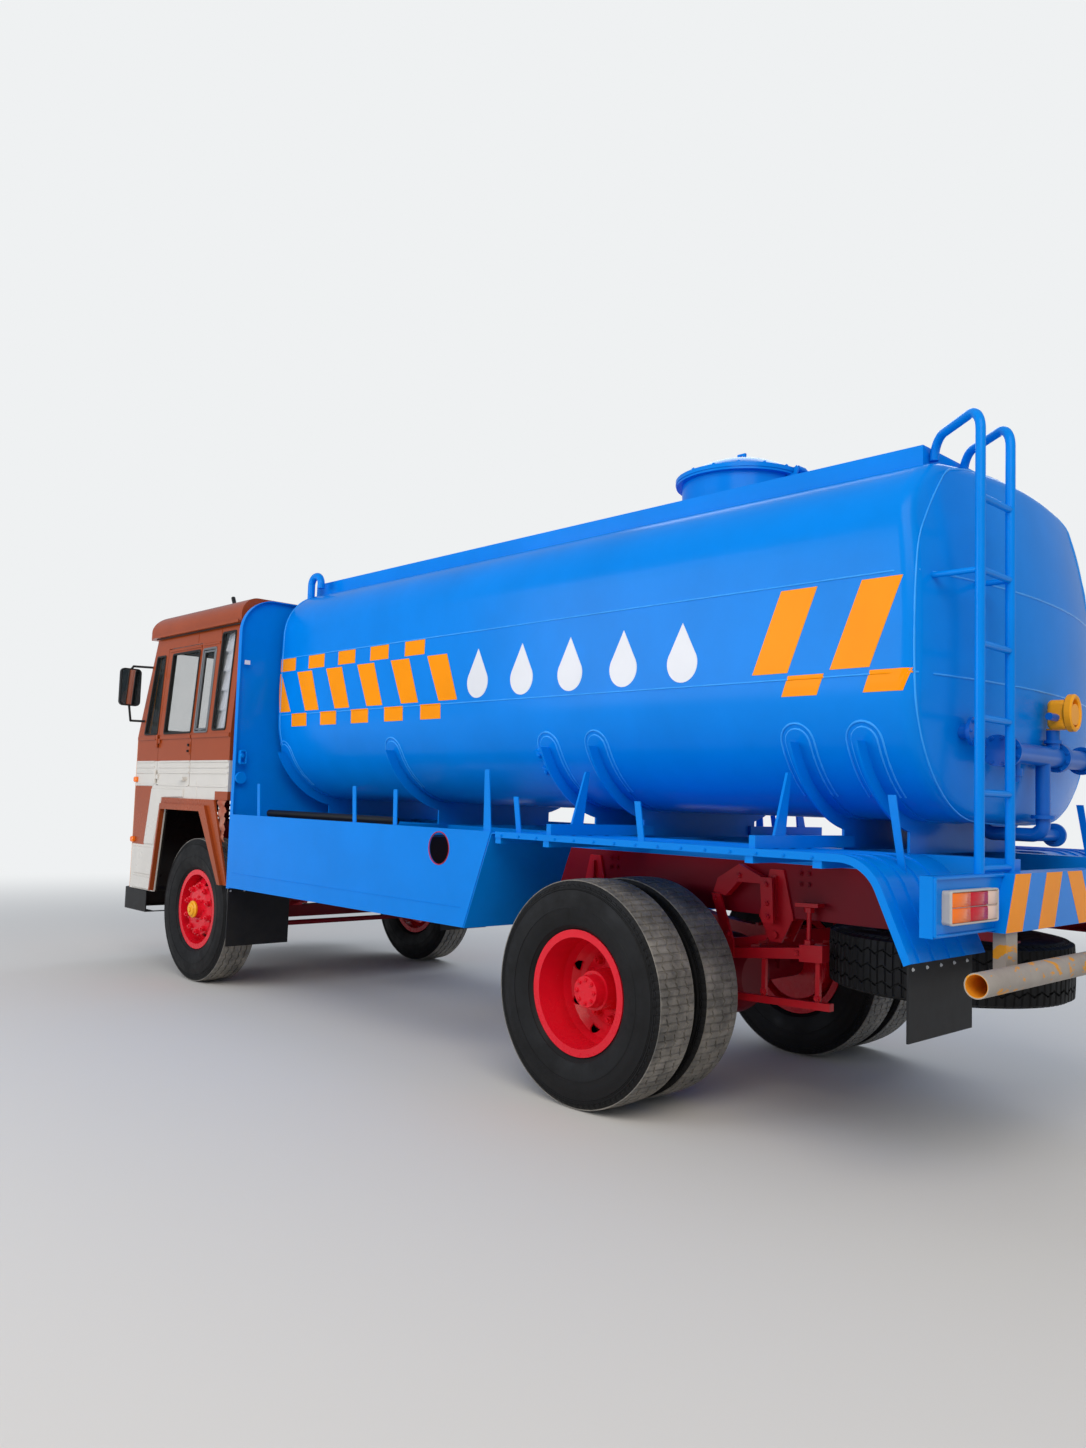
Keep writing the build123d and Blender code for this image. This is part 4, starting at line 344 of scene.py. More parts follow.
def bolt_tree():
    """A tree that stands a washer, a chamfered head and the bolt's end on each point, aimed along "out"."""
    tree, given = new_tree("bolt_heads",
                           (("Spots", "Geometry"), ("Head radius", "Float"), ("Head height", "Float"),
                            ("Flats", "Int"), ("Paint", "Material")), "Bolts")
    whole = add(tree, "GeometryNodeJoinGeometry")
    steps = (  # sides, then shares of the head's size: foot radius, height, lift, top radius
        (18, 1.45, 0.18, 0.0, 1.38), (given["Flats"], 1.0, 0.62, 0.18, 1.0),
        (given["Flats"], 1.0, 0.2, 0.8, 0.86), (12, 0.5, 0.35, 1.0, 0.42),
    )
    for flats, wide, high, lift, narrow in steps:
        shares = (("Head radius", wide), ("Head radius", narrow), ("Head height", high),
                  ("Head height", lift))
        foot, top, deep, rise = [add(tree, "ShaderNodeMath", {0: given[size], 1: share},
                                     operation="MULTIPLY").outputs[0] for size, share in shares]
        base = add(tree, "ShaderNodeCombineXYZ", {2: rise})
        turned = add(tree, "GeometryNodeMeshCone",
                     {"Vertices": flats, "Radius Top": top, "Radius Bottom": foot,
                      "Depth": deep})
        stood = add(tree, "GeometryNodeTransform", {"Geometry": turned.outputs["Mesh"],
                                                    "Translation": base.outputs[0]})
        tree.links.new(stood.outputs[0], whole.inputs[0])
    out = add(tree, "GeometryNodeInputNamedAttribute", {"Name": "out"}, data_type="FLOAT_VECTOR")
    aimed = add(tree, "FunctionNodeAlignRotationToVector", {"Vector": out.outputs["Attribute"]}, axis="Z")
    angle = add(tree, "FunctionNodeRandomValue", {2: 0.0, 3: math.pi, 8: 3}, data_type="FLOAT")
    spin = add(tree, "FunctionNodeAxisAngleToRotation", {"Axis": (0, 0, 1), "Angle": angle.outputs[1]})
    set_so = add(tree, "FunctionNodeRotateRotation", {"Rotation": aimed.outputs[0],
                                                      "Rotate By": spin.outputs[0]}, rotation_space="LOCAL")
    each = add(tree, "GeometryNodeInstanceOnPoints", {"Points": given["Spots"], "Instance": whole.outputs[0],
                                                      "Rotation": set_so.outputs[0]})
    real = add(tree, "GeometryNodeRealizeInstances", {0: each.outputs[0]})
    done = add(tree, "GeometryNodeSetMaterial", {"Geometry": real.outputs[0], "Material": given["Paint"]})
    add(tree, "NodeGroupOutput", {0: done.outputs[0]})
    return tree


def grown(name, body, tree, sizes, points, edges=(), out=None, smooth_angle=35):
    """Runs a tree on points or lines, and keeps what it makes as one plain mesh that rides on a body."""
    seed = bpy.data.meshes.new(name)
    seed.from_pydata([tuple(p) for p in points], list(edges), [])
    if out:
        aim = seed.attributes.new("out", "FLOAT_VECTOR", "POINT")
        aim.data.foreach_set("vector", [part for n in out for part in n])
    piece = bpy.data.objects.new(name, seed)
    bpy.context.collection.objects.link(piece)
    grow = piece.modifiers.new("grow", "NODES")
    grow.node_group = tree
    for socket in tree.interface.items_tree:
        if socket.name in sizes:
            grow[socket.identifier] = sizes[socket.name]
    made = bpy.data.meshes.new_from_object(piece.evaluated_get(bpy.context.evaluated_depsgraph_get()))
    piece.modifiers.remove(grow)
    made.materials.clear()
    made.materials.append(sizes["Paint"])
    made.polygons.foreach_set("material_index", [0] * len(made.polygons))
    made.polygons.foreach_set("use_smooth", [True] * len(made.polygons))
    made.set_sharp_from_angle(angle=math.radians(smooth_angle))
    piece.data = made
    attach(piece, body)
    return piece


BOLTS = bolt_tree()


def bolts(name, body, paint, spots, head_r, head_high, flats=6):
    """Bolts on (place, outward direction) spots."""
    sizes = {"Head radius": head_r, "Head height": head_high, "Flats": flats, "Paint": paint}
    return grown(name, body, BOLTS, sizes, [at for at, _ in spots], out=[way for _, way in spots])


WHEEL_BOLTS = (  # name, body, X of the seat, axle, circle's radius, count, turn, head's radius and height
    ("front_wheel_nuts", "wheel_front", 1.080, FRONT_AXLE_Y, 0.1675, 10, 0.5, 0.021, 0.030),
    ("front_hub_bolts", "wheel_front", 1.0885, FRONT_AXLE_Y, 0.088, 8, 0.0, 0.011, 0.011),
    ("rear_wheel_nuts", "wheels_rear", 0.911, REAR_AXLE_Y, 0.150, 10, 0.5, 0.021, 0.034),
    ("rear_hub_bolts", "wheels_rear", 1.1055, REAR_AXLE_Y, 0.055, 8, 0.0, 0.010, 0.010),
)
HUB_CAP_SEAT = 0.120
HUB_CAP = ((0.0, 0.0), (0.0, 0.058), (0.005, 0.062), (0.014, 0.062), (0.019, 0.057), (0.021, 0.050),
           (0.030, 0.046), (0.035, 0.036), (0.036, 0.0))
for side, word in SIDES:
    out = (side, 0, 0)
    for name, body, x, axle_y, r, count, start, head_r, head_high in WHEEL_BOLTS:
        spots = [((side * x, y, z), out) for y, z in circle(axle_y, AXLE_Z, r, count, start)]
        bolts(f"{name}_{word}", f"{body}_{word}", wheel_red, spots, head_r, head_high)

    cap = Pile()
    cap_x = side * (FRONT_WHEEL_X + HUB_CAP_SEAT)
    cap.put(*lathe([(side * along, r) for along, r in HUB_CAP], 32, (cap_x, FRONT_AXLE_Y, AXLE_Z)))
    cap.put(*prism((cap_x + side * 0.034, FRONT_AXLE_Y, AXLE_Z), out, 6, 0.010, 0.020, 0.003))
    cap.build(f"front_hub_cap_{word}", f"wheel_front_{word}", "rim_paint", hub_yellow, smooth_angle=35)

# Tyres: moulded rubber, black walls with raised rings, and a worn grey tread. The front pair has zigzag ribs,
# the rear ones are cut across into blocks. Each replaces its plain CAD ring; the pattern is geometry.
TYRE_R = 0.525
TREAD_HALF = 0.112
GROOVE_DEEP = 0.010
CROWN = 0.0045
EDGE_W = 0.006
EDGE_SLOT_DEEP = 0.006
tyre_finishes = []
for name, fresh, dusty, most in (("moulded_black_rubber_wall", "#08090B", "#2A2723", 0.16),
                                 ("worn_dusty_rubber_tread", "#55534F", "#A8A196", 0.9)):
    finish, tree, shader = new_finish(name, {"Specular IOR Level": 0.25})
    where = add(tree, "ShaderNodeTexCoord").outputs["Object"]
    film = add(tree, "ShaderNodeTexNoise", {"Vector": where, "Scale": 7.0, "Detail": 8.0, "Roughness": 0.7})
    film_cut = add(tree, "ShaderNodeMapRange", {0: film.outputs["Fac"], 1: 0.35, 2: 0.75, 3: 0.05, 4: most})
    blend = add(tree, "ShaderNodeMix", {0: film_cut.outputs[0], 6: linear(fresh), 7: linear(dusty)},
                data_type="RGBA")
    fine = add(tree, "ShaderNodeTexNoise", {"Vector": where, "Scale": 220.0, "Detail": 3.0})
    bump = add(tree, "ShaderNodeBump", {"Strength": 0.35, "Distance": 0.001, "Height": fine.outputs["Fac"]})
    rough = add(tree, "ShaderNodeMapRange", {0: film.outputs["Fac"], 1: 0.3, 2: 0.7, 3: 0.42, 4: 0.8})
    feed(tree, shader, {"Base Color": blend.outputs[2], "Roughness": rough.outputs[0],
                        "Normal": bump.outputs[0]})
    tyre_finishes.append(finish)
tyre_black, tyre_grey = tyre_finishes

# (half width, radius) up one wall from the bead to the shoulder
WALL = ((0.0955, 0.2630), (0.0955, 0.2910), (0.1040, 0.2975), (0.1130, 0.3080), (0.1150, 0.3110),
        (0.1185, 0.3120),
        (0.1260, 0.3350), (0.1330, 0.3640), (0.1362, 0.3900), (0.1380, 0.3905), (0.1380, 0.3955),
        (0.1366, 0.3965),
        (0.1360, 0.4250), (0.1362, 0.4300), (0.1340, 0.4480), (0.1290, 0.4700), (0.1290, 0.4740),
        (0.1262, 0.4760),
        (0.1280, 0.4775), (0.1280, 0.4800), (0.1250, 0.4815), (0.1246, 0.4860), (0.1264, 0.4872),
        (0.1264, 0.4896),
        (0.1236, 0.4910), (0.1226, 0.4960), (0.1242, 0.4972), (0.1242, 0.4995), (0.1206, 0.5010),
        (0.1190, 0.5070), (0.1120, 0.5160))


def tyre(pile, x, y, z, grooves, pitches, zigzag, sipe, edge_slots, lie_flat=False):
    """One tyre: grooves is a list of centres and half widths across the tread, repeated round in pitches."""
    stations = ((0.0, 0), (0.10, 0), (0.16, 1), (0.22, 1), (0.28, 0), (0.5, 0), (0.62, 0), (0.68, 1),
                (0.74, 1), (0.80, 0))
    rows = []
    for pitch in range(pitches):
        for share, cut in stations:
            angle = 2 * math.pi * (pitch + share) / pitches
            c, s = math.cos(angle), math.sin(angle)
            swing = zigzag * (1 - 4 * abs(share - 0.5))
            across = []
            for middle, half in grooves:
                at = middle + swing
                across += [(at - half, 0.0), (at - half * 0.6, GROOVE_DEEP), (at + half * 0.6, GROOVE_DEEP),
                           (at + half, 0.0)]
            edges = [(-TREAD_HALF, 0.0), (-TREAD_HALF + EDGE_W, 0.0)] + across
            edges += [(TREAD_HALF - EDGE_W, 0.0), (TREAD_HALF, 0.0)]
            profile = [(-w, r) for w, r in WALL]
            for number, (px, deep) in enumerate(edges):
                slot = sipe if cut and 1 <= number < len(edges) - 1 else 0.0
                profile.append((px, TYRE_R - CROWN * (px / TREAD_HALF) ** 2 - max(deep, slot)))
            profile += [(w, r) for w, r in reversed(WALL)]
            if edge_slots and cut:
                profile = [(px, r - EDGE_SLOT_DEEP) if r > 0.49 and abs(px) > 0.115 else (px, r) for px,
                           r in profile]
            for px, r in profile:
                spot = (r * c, r * s, px) if lie_flat else (px, r * c, r * s)
                rows.append((x + spot[0], y + spot[1], z + spot[2]))
    total = pitches * len(stations)
    count = len(rows) // total
    walls, treads = [], []
    for number, quad in enumerate(ring_faces(count, total, closed=True)):
        on_tread = len(WALL) - 1 <= number % count < count - len(WALL)
        (treads if on_tread else walls).append(quad)
    pile.put(rows, walls + treads)
    pile.marks[-len(treads):] = [1] * len(treads)


REAR_TYRE_XS = (1.062, 0.742)
RIBS = [(-0.072, 0.0050), (-0.026, 0.0050), (0.026, 0.0050), (0.072, 0.0050)]
LUGS = [(-0.066, 0.0050), (0.0, 0.0055), (0.066, 0.0050)]
for side, word in SIDES:
    ring = Pile()
    tyre(ring, side * FRONT_WHEEL_X, FRONT_AXLE_Y, AXLE_Z, RIBS, 50, 0.005, 0.0020, False)
    skin = ring.build(f"front_tyre_skin_{word}", f"wheel_front_{word}", "tyre_rubber", tyre_black, tyre_grey,
                      smooth_angle=32)
    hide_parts(f"front_tyre_{word}")
    pair = Pile()
    for x in REAR_TYRE_XS:
        tyre(pair, side * x, REAR_AXLE_Y, AXLE_Z, LUGS, 44, 0.010, 0.006, True)
    skin = pair.build(f"rear_tyre_skins_{word}", f"wheels_rear_{word}", "tyre_rubber", tyre_black, tyre_grey,
                      smooth_angle=32)
    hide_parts(f"rear_tyres_{word}")

# Spare wheel: it lies flat under the tail, its rim a copy of the CAD one, dusty and dark, with its own
# treaded tyre.
SPARE_Y, SPARE_Z = 2.950, 0.745
spare = Pile()
tyre(spare, 0.0, SPARE_Y, SPARE_Z, LUGS, 44, 0.010, 0.006, True, lie_flat=True)
spare_rim = bmesh.new()
spare_rim.from_mesh(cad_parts["spare_wheel"].data)
bmesh.ops.remove_doubles(spare_rim, verts=spare_rim.verts, dist=1e-5)
outside = {v for v in spare_rim.verts if math.hypot(v.co.x, v.co.y - SPARE_Y) > 0.40}
while outside:
    grown_set = {e.other_vert(v) for v in outside for e in v.link_edges} - outside
    if not grown_set:
        break
    outside |= grown_set
bmesh.ops.delete(spare_rim, geom=list(outside), context="VERTS")
spare_rim.verts.index_update()
spare.put([tuple(v.co) for v in spare_rim.verts], [[v.index for v in f.verts] for f in spare_rim.faces], 2)
spare_rim.free()
spare_skin = spare.build("spare_wheel_skin", "root", "tyre_rubber", tyre_black, tyre_black, under_black,
                         smooth_angle=32)
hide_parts("spare_wheel")

# Spring end gear: beside each rear spring a pair of drilled links hangs from the rail and carries a clip bar,
# drawn up by a threaded rod, with a second bar strapped below it. Flame-cut steel plate, bolted and painted.
BRACKET_X = 0.446
LINKS = (  # each plate as seen from the side, and how far it stands from the bracket's inner face
    ([(1.985, 0.990), (2.010, 1.060), (2.135, 1.135), (2.262, 1.085), (2.262, 1.050), (2.130, 1.050),
      (2.060, 0.978)], 0.000, 0.044),
    ([(1.984, 0.986), (2.034, 0.986), (2.122, 0.760), (2.122, 0.685), (2.066, 0.685), (2.066, 0.760)], 0.044,
     0.058),
    ([(2.258, 1.082), (2.326, 1.082), (2.338, 0.872), (2.276, 0.872)], 0.030, 0.046),
    ([(2.030, 0.676), (2.030, 0.724), (2.500, 0.778), (2.500, 0.728)], 0.010, 0.050),
    ([(2.490, 0.716), (2.490, 0.792), (2.610, 0.800), (2.610, 0.724)], 0.000, 0.060),
    ([(2.270, 0.700), (2.292, 0.702), (2.292, 0.520), (2.270, 0.520)], 0.016, 0.034),
    ([(2.560, 0.730), (2.582, 0.730), (2.582, 0.520), (2.560, 0.520)], 0.016, 0.034),
    ([(2.120, 0.490), (2.120, 0.522), (2.640, 0.546), (2.640, 0.512)], 0.008, 0.042),
    ([(2.462, 0.962), (2.462, 0.980), (2.582, 0.984), (2.582, 0.966)], 0.000, 0.056),
)
ROD_OUT, ROD_Y = 0.030, 2.522
ROD_PARTS = (  # the rod and its two nuts: height, flats, length, radius, chamfer
    (0.780, 12, 0.190, 0.011, 0.001), (0.790, 6, 0.026, 0.024, 0.003), (0.940, 6, 0.024, 0.024, 0.003),
)
GEAR_BOLTS = (  # y, z and how far their plate stands out
    (2.009, 0.962, 0.058), (2.094, 0.800, 0.058), (2.094, 0.712, 0.058), (2.294, 1.050, 0.046),
    (2.300, 0.962, 0.046), (2.306, 0.900, 0.046), (2.475, 0.752, 0.050), (2.140, 1.080, 0.044),
    (2.281, 0.550, 0.034), (2.571, 0.560, 0.034),
)
gear, gear_bolts = Pile(), []
for side in (1, -1):
    for outline, near, far in LINKS:
        banded(gear, [[(side * (BRACKET_X + x), y, z) for y, z in outline] for x in (far, near)])
    for z, flats, length, r, chamfer in ROD_PARTS:
        gear.put(*prism((side * (BRACKET_X + ROD_OUT), ROD_Y, z), (0, 0, 1), flats, length, r, chamfer))
    for y, z, out in GEAR_BOLTS:
        gear_bolts.append(((side * (BRACKET_X + out - 0.001), y, z), (side, 0, 0)))
gear.build("spring_end_gear", "root", "chassis_paint", bright_red, smooth_angle=30)
bolts("spring_end_bolts", "root", bright_red, gear_bolts, 0.013, 0.012)

# Tank: a rolled steel shell with dished heads on rolled knuckles, seam-welded, in thick bright blue gloss
# enamel. The shell's section is four shallow arcs joined by large corners, as in the CAD.
TANK_HALF_W = 0.900
TANK_LOW_Z = 1.370
TANK_TOP_Z = 2.855
TANK_CROWN = 0.030
SIDE_BULGE = 0.012
TOP_CORNER_R = 0.330
LOW_CORNER_R = 0.550
TANK_FRONT_Y = -1.650
TANK_REAR_Y = 3.365
HEADS = {-1: (TANK_FRONT_Y, 12.0, 0.040), 1: (TANK_REAR_Y, 3.6, 0.070)}  # crown, dish radius, knuckle radius
TANK_MID_Z = (TANK_LOW_Z + TANK_TOP_Z) / 2
blue_gloss = enamel("bright_blue_gloss_enamel", "#0080E0", roughness=0.22, mottle=0.06, dirt=0.05,
                    dirt_high=1.2, orange_peel=0.05, wave=0.12, shine=0.10)


def arc_circle(half, sag):
    """Radius of an arc of a half chord and a rise."""
    return (half * half + sag * sag) / (2 * sag)


top_r = arc_circle(TANK_HALF_W, 2 * TANK_CROWN)
top_c = Vector((0.0, TANK_TOP_Z + TANK_CROWN - top_r))
low_r = arc_circle(TANK_HALF_W, TANK_CROWN)
low_c = Vector((0.0, TANK_LOW_Z + low_r))
side_r = arc_circle(TANK_MID_Z - TANK_LOW_Z - TANK_CROWN, SIDE_BULGE)
side_c = Vector((TANK_HALF_W + SIDE_BULGE - side_r, TANK_MID_Z))


def corner_circle(ca, ra, cb, rb, r, upper):
    """Centre of the corner arc of radius r inside two larger circles."""
    a, b = ra - r, rb - r
    gap = (cb - ca).length
    along = (a * a - b * b + gap * gap) / (2 * gap)
    high = math.sqrt(a * a - along * along)
    base = ca + (cb - ca) * (along / gap)
    off = Vector((-(cb - ca).y, (cb - ca).x)) * (high / gap)
    picks = [p for p in (base + off, base - off) if p.x > 0]
    return max(picks, key=lambda p: p.y if upper else -p.y)


top_corner = corner_circle(top_c, top_r, side_c, side_r, TOP_CORNER_R, True)
low_corner = corner_circle(low_c, low_r, side_c, side_r, LOW_CORNER_R, False)


def angle_of(v):
    return math.atan2(v.y, v.x)


# Each arc of the right half: centre, radius, first and last direction of its outward normal, and its steps.
HALF_ARCS = (
    (low_c, low_r, -math.pi / 2, angle_of(low_corner - low_c), 8),
    (low_corner, LOW_CORNER_R, angle_of(low_corner - low_c), angle_of(low_corner - side_c), 20),
    (side_c, side_r, angle_of(low_corner - side_c), angle_of(top_corner - side_c), 10),
    (top_corner, TOP_CORNER_R, angle_of(top_corner - side_c), angle_of(top_corner - top_c), 16),
    (top_c, top_r, angle_of(top_corner - top_c), math.pi / 2, 8),
)


def section(offset=0.0):
    """The tank's outline as (point, normal) pairs, anticlockwise from its foot, moved out by offset."""
    half = []
    for centre, r, first, last, steps in HALF_ARCS:
        for k in range(steps):
            angle = first + (last - first) * k / steps
            n = Vector((math.cos(angle), math.sin(angle)))
            half.append((centre + n * (r + offset), n))
    n = Vector((0.0, 1.0))
    half.append((top_c + n * (top_r + offset), n))
    other = [(Vector((-p.x, p.y)), Vector((-n.x, n.y))) for p, n in reversed(half[1:-1])]
    return half + other


loop = section()
centre = Vector((0.0, TANK_MID_Z))
KNUCKLE_STEPS = 7
HEAD_STEPS = 14


def tank_rings(direction):
    """Rings from the shell over the knuckle to the head's crown; direction is 1 at the rear, -1 in front."""
    crown, dish_r, knuckle_r = HEADS[direction]
    rings = [[] for _ in range(KNUCKLE_STEPS + 1 + HEAD_STEPS)]
    for p, n in loop:
        d = (p - centre).length
        slope = (d / dish_r) / math.sqrt(1 - (d / dish_r) ** 2)
        base = crown - direction * (dish_r - math.sqrt(dish_r ** 2 - d * d))
        root = math.sqrt(1 + slope * slope)
        mid_y = base + direction * (slope * knuckle_r - knuckle_r * root)
        last = math.atan2(1.0, slope)
        for k in range(KNUCKLE_STEPS + 1):
            phi = last * k / KNUCKLE_STEPS
            q = p - n * (knuckle_r * (1 - math.cos(phi)))
            rings[k].append((q.x, mid_y + direction * knuckle_r * math.sin(phi), q.y))
        edge = p - n * (knuckle_r * (1 - math.cos(last)))
        for k in range(1, HEAD_STEPS + 1):
            s = 1 - (k / (HEAD_STEPS + 0.5)) ** 0.9
            q = centre + (edge - centre) * s
            r = (q - centre).length
            dished = dish_r - math.sqrt(dish_r ** 2 - r * r)
            rings[KNUCKLE_STEPS + k].append((q.x, crown - direction * dished, q.y))
    return rings


shell = Pile()
rear_rings, front_rings = tank_rings(1), tank_rings(-1)
SHELL_STEPS = 48
body_rings = []
for k in range(1, SHELL_STEPS):
    ring = []
    for (x0, y0, z0), (x1, y1, z1) in zip(front_rings[0], rear_rings[0]):
        ring.append((x0, y0 + (y1 - y0) * k / SHELL_STEPS, z0))
    body_rings.append(ring)
banded(shell, list(reversed(front_rings)) + body_rings + rear_rings)
tank_skin = shell.build("tank_skin", "root", "blue_paint", blue_gloss, smooth_angle=40)
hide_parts("tank")
finish_nodes(blue_gloss, "coamings", "tank_fittings", "manhole_lid", "headboard", "side_panels",
             "rear_fenders", "rear_bumper", "ladder", "tank_saddles", "body_posts", "bearers")

shell_surface = BVHTree.FromPolygons([Vector(p) for p in shell.points], shell.faces)


def on_tank(y, z):
    """The point of the tank's left side level with (y, z), and the way out of it."""
    place, n, _, _ = shell_surface.ray_cast(Vector((2.0, y, z)), Vector((-1, 0, 0)))
    return place, (n if n.x > 0 else -n)


def on_rear_head(x, z):
    """The point of the tank's rear head level with (x, z)."""
    return shell_surface.ray_cast(Vector((x, 5.0, z)), Vector((0, -1, 0)))[0]


# Weld seams: the plates of the shell and its heads are joined by hand-laid beads that show as ridges under
# the paint, and each saddle's doubler pad is welded on with a bead round its edge and a second, wider pass.
# The blue beads are a lighter blue than the tank, a painted highlight along their ridges.
def bead_tree():
    """A tree that lays a round, slightly rippled bead along lines."""
    tree, given = new_tree("beads", (("Lines", "Geometry"), ("Bead radius", "Float"), ("Step", "Float"),
                                     ("Ripple", "Float"), ("Paint", "Material")), "Beads")
    line = add(tree, "GeometryNodeMeshToCurve", {"Mesh": given["Lines"]})
    even = add(tree, "GeometryNodeResampleCurve", {"Curve": line.outputs[0], "Length": given["Step"]},
               mode="LENGTH")
    grain = add(tree, "ShaderNodeTexNoise", {"Scale": 40.0, "Detail": 1.0})
    low, high = [add(tree, "ShaderNodeMath", {0: 1.0, 1: given["Ripple"]}, operation=way).outputs[0]
                 for way in ("SUBTRACT", "ADD")]
    swell = add(tree, "ShaderNodeMapRange", {0: grain.outputs[0], 1: 0.3, 2: 0.7, 3: low, 4: high})
    ring = add(tree, "GeometryNodeCurvePrimitiveCircle", {"Resolution": 6, "Radius": given["Bead radius"]})
    laid = add(tree, "GeometryNodeCurveToMesh", {"Curve": even.outputs[0], "Profile Curve": ring.outputs[0],
                                                 "Scale": swell.outputs[0], "Fill Caps": True})
    done = add(tree, "GeometryNodeSetMaterial", {"Geometry": laid.outputs[0], "Material": given["Paint"]})
    add(tree, "NodeGroupOutput", {0: done.outputs[0]})
    return tree


BEADS = bead_tree()


def beads(name, body, paint, lines, r, step=0.03, ripple=0.0):
    """Round beads laid along lines of points."""
    spots, edges = [], []
    for line in lines:
        edges += [(len(spots) + k, len(spots) + k + 1) for k in range(len(line) - 1)]
        spots += line
    sizes = {"Bead radius": r, "Step": step, "Ripple": ripple, "Paint": paint}
    return grown(name, body, BEADS, sizes, spots, edges, smooth_angle=70)


# A lighter blue than the tank's: painted highlight on the seam and pad beads.
weld_blue_painted_highlight = enamel("blue_enamel_over_weld_beads_painted_highlight", "#2F9DF2", roughness=0.2, mottle=0.05, dirt=0.03,
                   dirt_high=1.2)
SEAM_ZS = (2.36, 1.955)
SEAM_YS = (-1.562, 3.240)
SHELL_FROM, SHELL_TO = -1.60, 3.25
SADDLE_YS = (-1.540, -0.232, 1.169, 1.519, 2.698, 3.011)
PAD_HALF_W, PAD_TOP_Z = 0.055, 1.690
PITCH = 0.3735
SQUARES_Y = [(-1.400 + PITCH * k, -1.205 + PITCH * k) for k in range(5)] + [(2.678, 2.852), (3.062, 3.236)]
seams, over_squares = [], []
cuts = [SHELL_FROM] + [y for pair in SQUARES_Y for y in pair] + [SHELL_TO]
for side in (1, -1):
    line = [on_tank(SHELL_FROM + 0.097 * k, SEAM_ZS[0])[0] for k in range(51)]
    seams.append([(side * p.x, p.y, p.z) for p in line])
    for number, (y0, y1) in enumerate(zip(cuts, cuts[1:])):
        steps = max(2, round((y1 - y0) / 0.09))
        line = [on_tank(y0 + (y1 - y0) * k / steps, SEAM_ZS[1])[0] for k in range(steps + 1)]
        (over_squares if number % 2 else seams).append([(side * p.x, p.y, p.z) for p in line])
for z in SEAM_ZS:
    seams.append([tuple(on_rear_head(-0.80 + 0.08 * k, z)) for k in range(21)])
for y in SEAM_YS:
    ring = [shell_surface.ray_cast(Vector((p.x + 0.2 * n.x, y, p.y + 0.2 * n.y)),
                                   Vector((-n.x, 0, -n.y)))[0] for p, n in loop]
    seams.append([tuple(p) for p in ring + ring[:1]])
beads("tank_seams", "root", weld_blue_painted_highlight, seams, 0.0045, step=0.035, ripple=0.2)
pad_welds = []
for y in SADDLE_YS:
    for half in (PAD_HALF_W + 0.003, PAD_HALF_W + 0.026):
        path = [(-half, z) for z in (1.47, 1.53, 1.59, 1.64)]
        path += [(half * math.cos(math.radians(a)), PAD_TOP_Z + half * math.sin(math.radians(a)))
                 for a in range(180, -1, -15)]
        path += [(half, z) for z in (1.64, 1.59, 1.53, 1.47)]
        for side in (1, -1):
            spots = [on_tank(min(max(y + dy, SHELL_FROM - 0.03), SHELL_TO), z)[0] for dy, z in path]
            pad_welds.append([(side * p.x, p.y, p.z) for p in spots])
beads("pad_welds", "root", weld_blue_painted_highlight, pad_welds, 0.0050, step=0.02, ripple=0.25)


# Clamp lugs: short steel tabs welded to the shell along the front edge of two saddles, each with a bolt
# through it, painted with the tank. The front saddle has four in a row, and the third two near its top.
LUG_LONG, LUG_TALL, LUG_HIGH = 0.050, 0.058, 0.020
lugs, lug_bolts = Pile(), []
for saddle_y, heights in ((SADDLE_YS[0], (1.66, 1.575, 1.49, 1.41)), (SADDLE_YS[2], (1.66, 1.575))):
    for z in heights:
        place, n = on_tank(saddle_y - PAD_HALF_W - 0.018, z)
        down = n.cross(Vector((0, 1, 0)))
        for side in (1, -1):
            spots = [place + n * out + Vector((0, along, 0)) + down * fall
                     for out in (-0.006, LUG_HIGH)
                     for along, fall in ((-LUG_LONG / 2, -LUG_TALL / 2), (LUG_LONG / 2, -LUG_TALL / 2),
                                         (LUG_LONG / 2, LUG_TALL / 2), (-LUG_LONG / 2, LUG_TALL / 2))]
            lugs.put([(side * p.x, p.y, p.z) for p in spots],
                     [(0, 1, 2, 3), (4, 5, 6, 7), (0, 1, 5, 4), (1, 2, 6, 5), (2, 3, 7, 6), (3, 0, 4, 7)])
            top = place + n * LUG_HIGH
            lug_bolts.append(((side * top.x, top.y, top.z), (side * n.x, n.y, n.z)))
lugs.build("clamp_lugs", "root", "blue_paint", blue_gloss)
bolts("clamp_lug_bolts", "root", blue_gloss, lug_bolts, 0.014, 0.012)


# Painted chequers: slanting bars and squares in chrome yellow-orange enamel, brushed onto the tank's sides,
# with a row of plain white drops between them. Each patch follows the shell, closed behind.
yellow_band = enamel("chrome_yellow_orange_enamel", "#F89400", roughness=0.26, mottle=0.05, dirt=0.05,
                     orange_peel=0.05, shine=0.08)
white_gloss = enamel("white_gloss_enamel", "#DDDFE3", roughness=0.24, mottle=0.03, dirt=0.05,
                     orange_peel=0.05)
PAINT_T, PAINT_SUNK = 0.0012, 0.003


def decal(pile, outline, middle, mark, rings=5):
    """A painted patch on both sides of the tank, its outline drawn in to its middle in rings."""
    for side in (1, -1):
        spots = []
        count = len(outline)
        for ring in range(rings):
            share = 1 - ring / rings
            for y, z in outline:
                place, n = on_tank(middle[0] + (y - middle[0]) * share, middle[1] + (z - middle[1]) * share)
                spots.append(place + n * PAINT_T)
        place, n = on_tank(*middle)
        spots.append(place + n * PAINT_T)
        for y, z in outline:
            place, n = on_tank(y, z)
            spots.append(place - n * PAINT_SUNK)
        faces = ring_faces(count, rings)
        last, behind = (rings - 1) * count, rings * count + 1
        for k in range(count):
            m = (k + 1) % count
            faces.append((last + k, last + m, rings * count))
            faces.append((k, m, behind + m, behind + k))
        faces.append(tuple(behind + k for k in range(count)))
        pile.put([(side * p.x, p.y, p.z) for p in spots], faces, mark)


